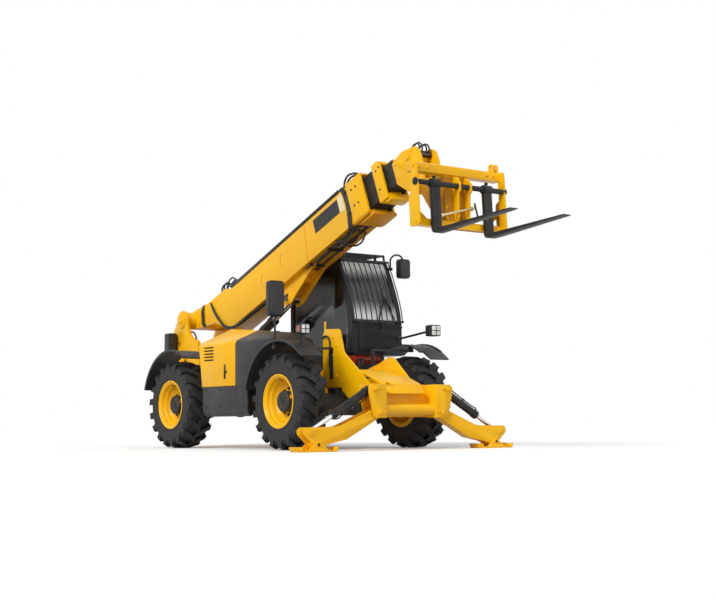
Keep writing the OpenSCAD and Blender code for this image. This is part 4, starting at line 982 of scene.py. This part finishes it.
def dressStabiliser(name, hand, setup):
    stroke = Vector(joints["stab_ram_stroke_" + name]["axis"])
    tilt = Matrix.Rotation(math.atan2(stroke.z, stroke.y), 4, "X")
    place = Matrix.Translation(joints["stab_ram_swing_" + name]["pos_m"]) @ tilt
    barrel = "stab_barrel_" + name
    layHoses("stabiliser_ram_pipe_" + name, setup["pipes"], 0.008, "hose", barrel, place)
    shape = bmesh.new()
    for spot in setup["ports"]:
        addRod(shape, (0.0, spot, 0.048), (0.0, spot, 0.066), 0.014, 0.002, 6)
    addBlock(shape, (0.004, 0.33, 0.046), (0.032, 0.36, 0.072), 0.004)
    finishPiece(shape, "stabiliser_ram_ports_" + name, "steel", barrel, place)
    place = axlePlace @ Matrix.Diagonal((1, hand, 1, 1))
    shape = bmesh.new()  # pin ends of the leg and its ram on the beam
    for across, up, size in setup["pins"]:
        addRod(shape, (1.2305, across, up), (1.238, across, up), size * 0.72, 0.003, 28)
        spot = (1.216, across - 0.05, up + 0.012)
        addPlate(shape, roundOutline(0.085, 0.034, 0.014), spot, frontPlane, 0.007, 0.002)
        addBolt(shape, (1.222, across - 0.072, up + 0.012), (1, 0, 0), 0.009)
    finishPiece(shape, "beam_pins_" + name, "yellow", "chassis", place)
    shape = bmesh.new()
    for face, out in ((1.210, 1), (1.010, -1)):
        addRod(shape, (face, 1.39, 0.085), (face + out * 0.006, 1.39, 0.085), 0.019, 0.002, 20)
    addBolts(shape, setup["footBolts"], (0, 0, 1), 0.010)
    finishPiece(shape, "foot_pins_" + name, "rust", "stabiliser_" + name, place)


dressLiftRam(ramSetup)
dressStabiliser("left", 1, stabiliserSetup)
dressStabiliser("right", -1, stabiliserSetup)
print("rams dressed")


# chassis and nose

chassisSetup = {
    "nose": 0.325,
    "leftTop": 1.15,  # the left nose plate ends here
    "plateBolts": [(0.02, 1.42), (0.10, 1.32), (0.02, 1.20), (-0.12, 1.42), (0.62, 0.72), (0.74, 0.52)],
    "lowBolts": [(0.10, 0.93), (-0.05, 0.93)],
    "pivot": (-3.8, 1.89),
    "towerBolts": [(-3.93, 1.18), (-3.93, 1.06), (-3.40, 1.18), (-3.40, 1.06)],
    "weightBolts": [(0.40, 0.74), (0.40, 1.14), (-0.40, 0.74), (-0.40, 1.14)],
    "hornHose": [(-0.19, -0.345, 1.43), (-0.12, -0.339, 1.45), (-0.06, -0.338, 1.425), (-0.03, -0.338, 1.35),
                 (-0.03, -0.338, 1.22), (-0.035, -0.338, 1.10), (-0.05, -0.320, 1.04)],
    "towerHoses": [[(-3.66, 1.09, 1.72), (-3.60, 1.0, 1.70), (-3.54, 0.95, 1.58), (-3.50, 0.93, 1.40),
                    (-3.49, 0.94, 1.18), (-3.50, 1.0, 1.018)],
                   [(-3.70, 1.09, 1.62), (-3.63, 1.0, 1.60), (-3.58, 0.95, 1.50), (-3.55, 0.93, 1.34),
                    (-3.54, 0.94, 1.16), (-3.55, 1.0, 1.018)]],  # along, share of the lane, up
    "towerLanes": (-0.29, 0.29),
    "hosePorts": [0.3725, 0.4275],
    "plugs": [0.4825, 0.5375, 0.5925, 0.6475, 0.7025, 0.7575],
    "guards": [(0.0, 0.98, 0.607), (0.0, -0.98, 0.607), (-2.75, 0.98, 0.607), (-2.75, -0.98, 0.607)],
    "guardRadius": 0.765,
    "guardBolts": [64, 72, 80, 88],
}


def layChassisHoses(setup):
    runs = [setup["hornHose"]]
    for index, port in enumerate(setup["hosePorts"]):
        runs.append([(-0.386, port, 1.18), (-0.33, port - 0.01, 1.175), (-0.27, port - 0.06, 1.12),
                     (-0.23, 0.24 + 0.01 * index, 1.02), (-0.20, 0.20 - 0.03 * index, 0.93),
                     (-0.05, 0.18 - 0.035 * index, 0.905), (0.14, 0.17 - 0.035 * index, 0.913)])
    for lane in setup["towerLanes"]:
        runs += [[(along, lane * share, up) for along, share, up in path] for path in setup["towerHoses"]]
    layHoses("chassis_hoses", runs, 0.0135, "hose", "chassis")
    shape = bmesh.new()
    for level in (0.331, -0.331):
        for along, up in ((-3.70, 1.70), (-3.74, 1.60)):
            addBlock(shape, (along, level - 0.03, up), (along + 0.05, level + 0.002, up + 0.035), 0.005)
    addBlock(shape, (-0.060, -0.356, 1.27), (0.0, -0.322, 1.30), 0.005)
    finishPiece(shape, "chassis_clamps", "black", "chassis")


def dressChassis(setup):
    nose = setup["nose"]
    shape = bmesh.new()
    sideBolts(shape, [spot for spot in setup["plateBolts"] if spot[1] < setup["leftTop"]], nose, 0.013)
    upper = [(along, -nose, up) for along, up in setup["plateBolts"] if up >= setup["leftTop"]]
    addBolts(shape, upper, (0, -1, 0), 0.013)
    sideBolts(shape, setup["lowBolts"], nose, 0.015)
    sideBolts(shape, ringSpots(setup["pivot"], 0.083, 6, 0.25), 0.396, 0.010)
    sideRods(shape, setup["pivot"], 0.4095, 0.416, 0.036, 0.003, 28)
    sideBolts(shape, setup["towerBolts"], 0.38, 0.015)
    addBolts(shape, [(-4.14, across, up) for across, up in setup["weightBolts"]], (-1, 0, 0), 0.020)
    finishPiece(shape, "frame_bolts", "yellow", "chassis")
    shape = bmesh.new()  # sight post on the horn plate
    for low, high, size, bevel in ((1.50, 1.62, 0.012, 0.004), (1.61, 1.64, 0.016, 0.006)):
        addRod(shape, (-0.165, -0.3125, low), (-0.165, -0.3125, high), size, bevel, 20)
    finishPiece(shape, "sight_post", "yellow", "chassis")
    shape = bmesh.new()
    for across in setup["plugs"]:
        addRod(shape, (-0.386, across, 1.18), (-0.374, across, 1.18), 0.013, 0.002, 6)
    finishPiece(shape, "valve_plugs", "steel", "chassis")
    shape = bmesh.new()  # fixings of the mudguards
    for centre in setup["guards"]:
        for angle in setup["guardBolts"]:
            turn = math.radians(angle)
            radial = Vector((math.cos(turn), 0, math.sin(turn)))
            addBolt(shape, Vector(centre) + radial * setup["guardRadius"], radial, 0.008)
    finishPiece(shape, "guard_bolts", "steel", "chassis")
    roundPlate("rear_blank_plate", "cream", "chassis", (0.34, 0.12, 0.012), (-4.14, 0.36, 1.06), backPlane,
               0.004, 0.001, 1)


layChassisHoses(chassisSetup)
dressChassis(chassisSetup)
print("chassis dressed")


# engine cover

hoodSetup = {
    "side": -1.125,
    "latch": (-1.32, 1.02),
    "hinges": (-1.82, -1.76, -1.27, -1.21),
    "skirt": (-1.83, -1.45, -1.05, -0.85),
}


def dressHood(setup):
    along, up = setup["latch"]
    level = setup["side"]
    shape = bmesh.new()
    addPlate(shape, roundOutline(0.042, 0.20, 0.018), (along, level, up), sidePlane, 0.004, 0.0015)
    addBlock(shape, (along - 0.010, level - 0.016, up - 0.08), (along + 0.010, level - 0.003, up + 0.02))
    addBlock(shape, (along + 0.002, level - 0.012, up - 0.012), (along + 0.055, level - 0.001, up + 0.012))
    addRod(shape, (along, level - 0.002, up + 0.06), (along, level - 0.009, up + 0.06), 0.013, 0.002, 20)
    finishPiece(shape, "hood_latch", "plastic", "hood")
    roundPlate("air_slot_mesh", "mesh", "hood", (0.30, 0.24, 0.02), (-1.745, level + 0.029, 1.275), sidePlane,
               0.003, 0.001, 1)  # behind the air slots
    shape = bmesh.new()
    addBolts(shape, [(along, -0.47, 1.5695) for along in setup["hinges"]], (0, 0, 1), 0.007)
    finishPiece(shape, "hood_hinge_bolts", "steel", "hood")
    shape = bmesh.new()
    spots = [(along, level + 0.005, up) for along in setup["skirt"] for up in (0.79, 0.56)]
    addBolts(shape, spots, (0, -1, 0), 0.009)
    finishPiece(shape, "skirt_bolts", "cast", "chassis")


dressHood(hoodSetup)
print("engine cover dressed")


# cab

cabSetup = {
    "front": -0.405,
    "sill": 1.66,
    "roof": 2.5,
    "lean": 0.295,
    "right": 0.305,
    "left": 1.15,
    "sealInset": 0.043,
    "wiperFoot": (0.79, 1.625),
    "blade": [(0.89, 2.075, 0.012), (0.93, 1.97, 0.012), (0.97, 1.87, 0.012), (1.025, 1.725, 0.011)],
}


def dressCab(setup):
    front, sill, roof = setup["front"], setup["sill"], setup["roof"]

    def onScreen(across, up, out):
        rise = max(up - sill, 0) / (roof - sill)
        return Vector((front - setup["lean"] * rise ** 1.5 + out, across, up))

    shape = bmesh.new()  # wiper: motor boss, arm and the blade's carrier
    foot = setup["wiperFoot"]
    addRod(shape, (front - 0.01, *foot), (front + 0.030, *foot), 0.022, 0.004, 24)
    addRod(shape, (front + 0.024, *foot), onScreen(0.735, 1.715, 0.026), 0.010, 0.003, 16)
    addRod(shape, onScreen(0.735, 1.705, 0.026), onScreen(0.90, 2.044, 0.026), 0.0105, 0.002, 12)
    addRod(shape, onScreen(0.90, 2.050, 0.026), onScreen(0.965, 1.885, 0.022), 0.0105, 0.002, 12)
    finishPiece(shape, "wiper_arms", "black", "chassis")
    layHoses("wiper_blade", [[onScreen(*spot) for spot in setup["blade"]]], 0.0105, "hose", "chassis")
    low, high = sill + 0.004, roof + 0.041  # rubber seal round the windscreen
    right, left = setup["right"] + setup["sealInset"], setup["left"] - setup["sealInset"]
    levels = [low + (high - low) * step / 6 for step in range(7)]
    runs = [[onScreen(across, up, -0.006) for up in levels] for across in (right, left)]
    runs += [[onScreen(across, up, -0.006) for across in (right, 0.73, left)] for up in (low, high)]
    layHoses("screen_seal", runs, 0.008, "hose", "chassis")
    shape = bmesh.new()  # stick, armrests and the stick's stand
    addBlock(shape, (-1.62, 0.985, 1.28), (-1.30, 1.06, 1.34), 0.02, 3)
    addRod(shape, (-1.34, 1.02, 1.33), (-1.31, 1.02, 1.45), 0.012, 0.002, 16)
    addRod(shape, (-1.313, 1.02, 1.44), (-1.295, 1.02, 1.53), 0.022, 0.008, 20, 0.026)
    addBlock(shape, (-1.70, 0.40, 1.15), (-1.28, 0.465, 1.31), 0.02, 3)
    addBlock(shape, (-1.72, 0.985, 0.825), (-1.40, 1.05, 1.285), 0.012)
    finishPiece(shape, "control_arm", "plastic", "chassis")
    shape = bmesh.new()
    addBlock(shape, (-0.96, 1.149, 1.20), (-0.86, 1.158, 1.26))
    addBlock(shape, (-0.955, 1.156, 1.242), (-0.865, 1.176, 1.257), 0.005)
    addRod(shape, (-0.885, 1.156, 1.215), (-0.885, 1.164, 1.215), 0.011, 0.002, 20)
    finishPiece(shape, "door_handle", "plastic", "door")


dressCab(cabSetup)

seatSetup = {  # low and high corner, crown and lean of each pad
    "seat_cushion": ((-1.775, 0.49, 1.105), (-1.285, 0.97, 1.185), 0.028, 0.0),
    "seat_back": ((-2.075, 0.50, 1.505), (-1.425, 0.96, 1.575), 0.030, math.radians(84)),
}


def crownPad(low, high, crown, lean):  # cushion that swells between its seams
    shape = bmesh.new()
    bmesh.ops.create_cube(shape, size=2)
    bmesh.ops.subdivide_edges(shape, edges=shape.edges[:], cuts=7, use_grid_fill=True)
    low, high = Vector(low), Vector(high)
    middle, half = (low + high) / 2, (high - low) / 2
    for vert in shape.verts:
        a, b, c = vert.co
        top = c > 0
        swell = (1 - a * a) * (1 - b * b)
        corner = 1 - 0.10 * (abs(a) ** 6 + abs(b) ** 6) * abs(c) ** 2
        channel = 0.35 * max(0.0, 1 - (abs(abs(b) - 0.62) / 0.08) ** 2) * (1 if top else 0)
        pull = 1 - 0.035 * (1 - a * a) * abs(b) ** 8 - 0.035 * (1 - b * b) * abs(a) ** 8
        lift = crown * (swell - channel * 0.4) * (1 if top else -0.1) * abs(c)
        vert.co = Vector((a * half.x * pull * corner, b * half.y * pull * corner, c * half.z + lift))
    if lean:
        bmesh.ops.rotate(shape, verts=shape.verts[:], cent=(0, 0, 0), matrix=Matrix.Rotation(lean, 3, "Y"))
    bmesh.ops.translate(shape, verts=shape.verts[:], vec=middle)
    return shape


def addSeat(setup):
    for name, pad in setup.items():
        piece = finishPiece(crownPad(*pad), name, "seat", "chassis", sharp=60)
        smooth = piece.modifiers.new("smooth", "SUBSURF")
        smooth.levels = smooth.render_levels = 1
        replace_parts(piece, "seat")
    shape = bmesh.new()
    outline = [(-1.74, 0.821), (-1.34, 0.821), (-1.38, 1.06), (-1.72, 1.06)]
    addPlate(shape, outline, (0, 0.90, 0), sidePlane, 0.34, 0.012)
    addBlock(shape, (-1.77, 0.50, 1.058), (-1.30, 0.96, 1.104), 0.012)
    addBlock(shape, (-1.845, 0.52, 1.10), (-1.80, 0.94, 1.30), 0.012)
    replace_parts(finishPiece(shape, "seat_base", "plastic", "chassis"), "seat")


addSeat(seatSetup)
print("cab dressed")


# lamps and mirrors

lampSetup = {  # face, across, up, width, height and reach of the marker
    "right": (0.38, -1.0, 1.495, 0.108, 0.104, -0.065),
    "left": (0.33, 1.145, 1.55, 0.138, 0.124, 0.0825),
}
rearLenses = {"amberLens": 1.645, "redLens": 1.565, "lens": 1.485}
mirrorSetup = {  # back, across, up, width and height
    "right": (-0.185, -1.1, 1.905, 0.19, 0.42),
    "left": (-0.595, 1.307, 2.47, 0.155, 0.24),
}


def dressLamps(setup):
    for name, (face, across, up, width, height, reach) in setup.items():
        roundPlate("lamp_lens_" + name, "lens", "chassis", (width, height, 0.014), (face - 0.001, across, up),
                   frontPlane, 0.008)
        shape = bmesh.new()  # cross bars between the reflectors
        for wide, tall in ((width / 2, 0.005), (0.005, height / 2)):
            low, high = (face + 0.004, across - wide, up - tall), (face + 0.011, across + wide, up + tall)
            addBlock(shape, low, high, 0.002)
        finishPiece(shape, "lamp_bars_" + name, "plastic", "chassis")
        outward = ((-math.copysign(1, across), 0, 0), (0, 0, 1))
        roundPlate("lamp_marker_" + name, "amberLens", "chassis", (0.075, height * 0.75, 0.012),
                   (face - 0.05, across + reach, up), outward, 0.007)
    for side, hand in (("left", 1), ("right", -1)):
        for finish, up in rearLenses.items():
            roundPlate("rear_" + finish + "_" + side, finish, "chassis", (0.115, 0.068, 0.012),
                       (-4.029, hand * 0.48, up), backPlane, 0.008)


def dressMirrors(setup):
    for name, (back, across, up, width, height) in setup.items():
        roundPlate("mirror_glass_" + name, "mirror", "chassis", (width, height, 0.03), (back, across, up),
                   backPlane, 0.003, 0.001, 1)
        roundPlate("mirror_dome_" + name, "plastic", "chassis", (width + 0.022, height + 0.022, 0.045, 8),
                   (back + 0.068, across, up), frontPlane, 0.026, 0.020, 4)  # domed front of the case


dressLamps(lampSetup)
dressMirrors(mirrorSetup)
print("lamps dressed")


# floor and light

studio = {
    "floorSize": 120.0,
    "floorTone": 0.97,  # for the white rays
    "floorBounce": 0.56,  # for the light that the machine gets from it
    "floorGlow": 0.14,  # for the white rays
    "sky": 0.46,
    "lamps": {"key": (2.05, 24, (54, 0, 22)), "fill": (0.45, 60, (60, 0, 100))},  # power, spread and turn
}


def whiteRays(tree):  # rays from the camera, off metal and through glass
    rays = [addNode(tree, "ShaderNodeLightPath", out=out) for out in (0, 3, 6)]
    return (rays[0] + rays[1] + rays[2]).clamp()


def addStudio(setup):
    shape = bmesh.new()
    bmesh.ops.create_grid(shape, x_segments=2, y_segments=2, size=setup["floorSize"] / 2)
    data = bpy.data.meshes.new("floor")
    shape.to_mesh(data)
    shape.free()
    floor = bpy.data.objects.new("floor", data)
    scene.collection.objects.link(floor)
    finish = Finish("pale_floor")
    seen = whiteRays(finish.tree)
    tone = finish.mix(seen, [setup["floorBounce"]] * 3 + [1], [setup["floorTone"]] * 3 + [1])
    grain = finish.noise(3.0, 2.0) * 0.004
    glow = finish.mix(seen * (setup["floorGlow"] + grain), (0, 0, 0), (255, 255, 255))
    data.materials.append(finish.set(color=tone, roughness=0.9, specular=0.0, glow=glow, glowStrength=1.0))
    world = bpy.data.worlds.new("studio")
    world.use_nodes = True
    scene.world = world
    tree = world.node_tree
    background = tree.nodes["Background"]
    strength = whiteRays(tree) * (1 - setup["sky"]) + setup["sky"]
    background.inputs["Color"].default_value = (1, 1, 1, 1)
    plug(tree, background.inputs["Strength"], strength)
    for name, (power, angle, turn) in setup["lamps"].items():
        lamp = bpy.data.lights.new(name, "SUN")
        lamp.energy = power
        lamp.angle = math.radians(angle)
        holder = bpy.data.objects.new(name, lamp)
        holder.rotation_euler = [math.radians(value) for value in turn]
        scene.collection.objects.link(holder)


addStudio(studio)
print("studio ready")
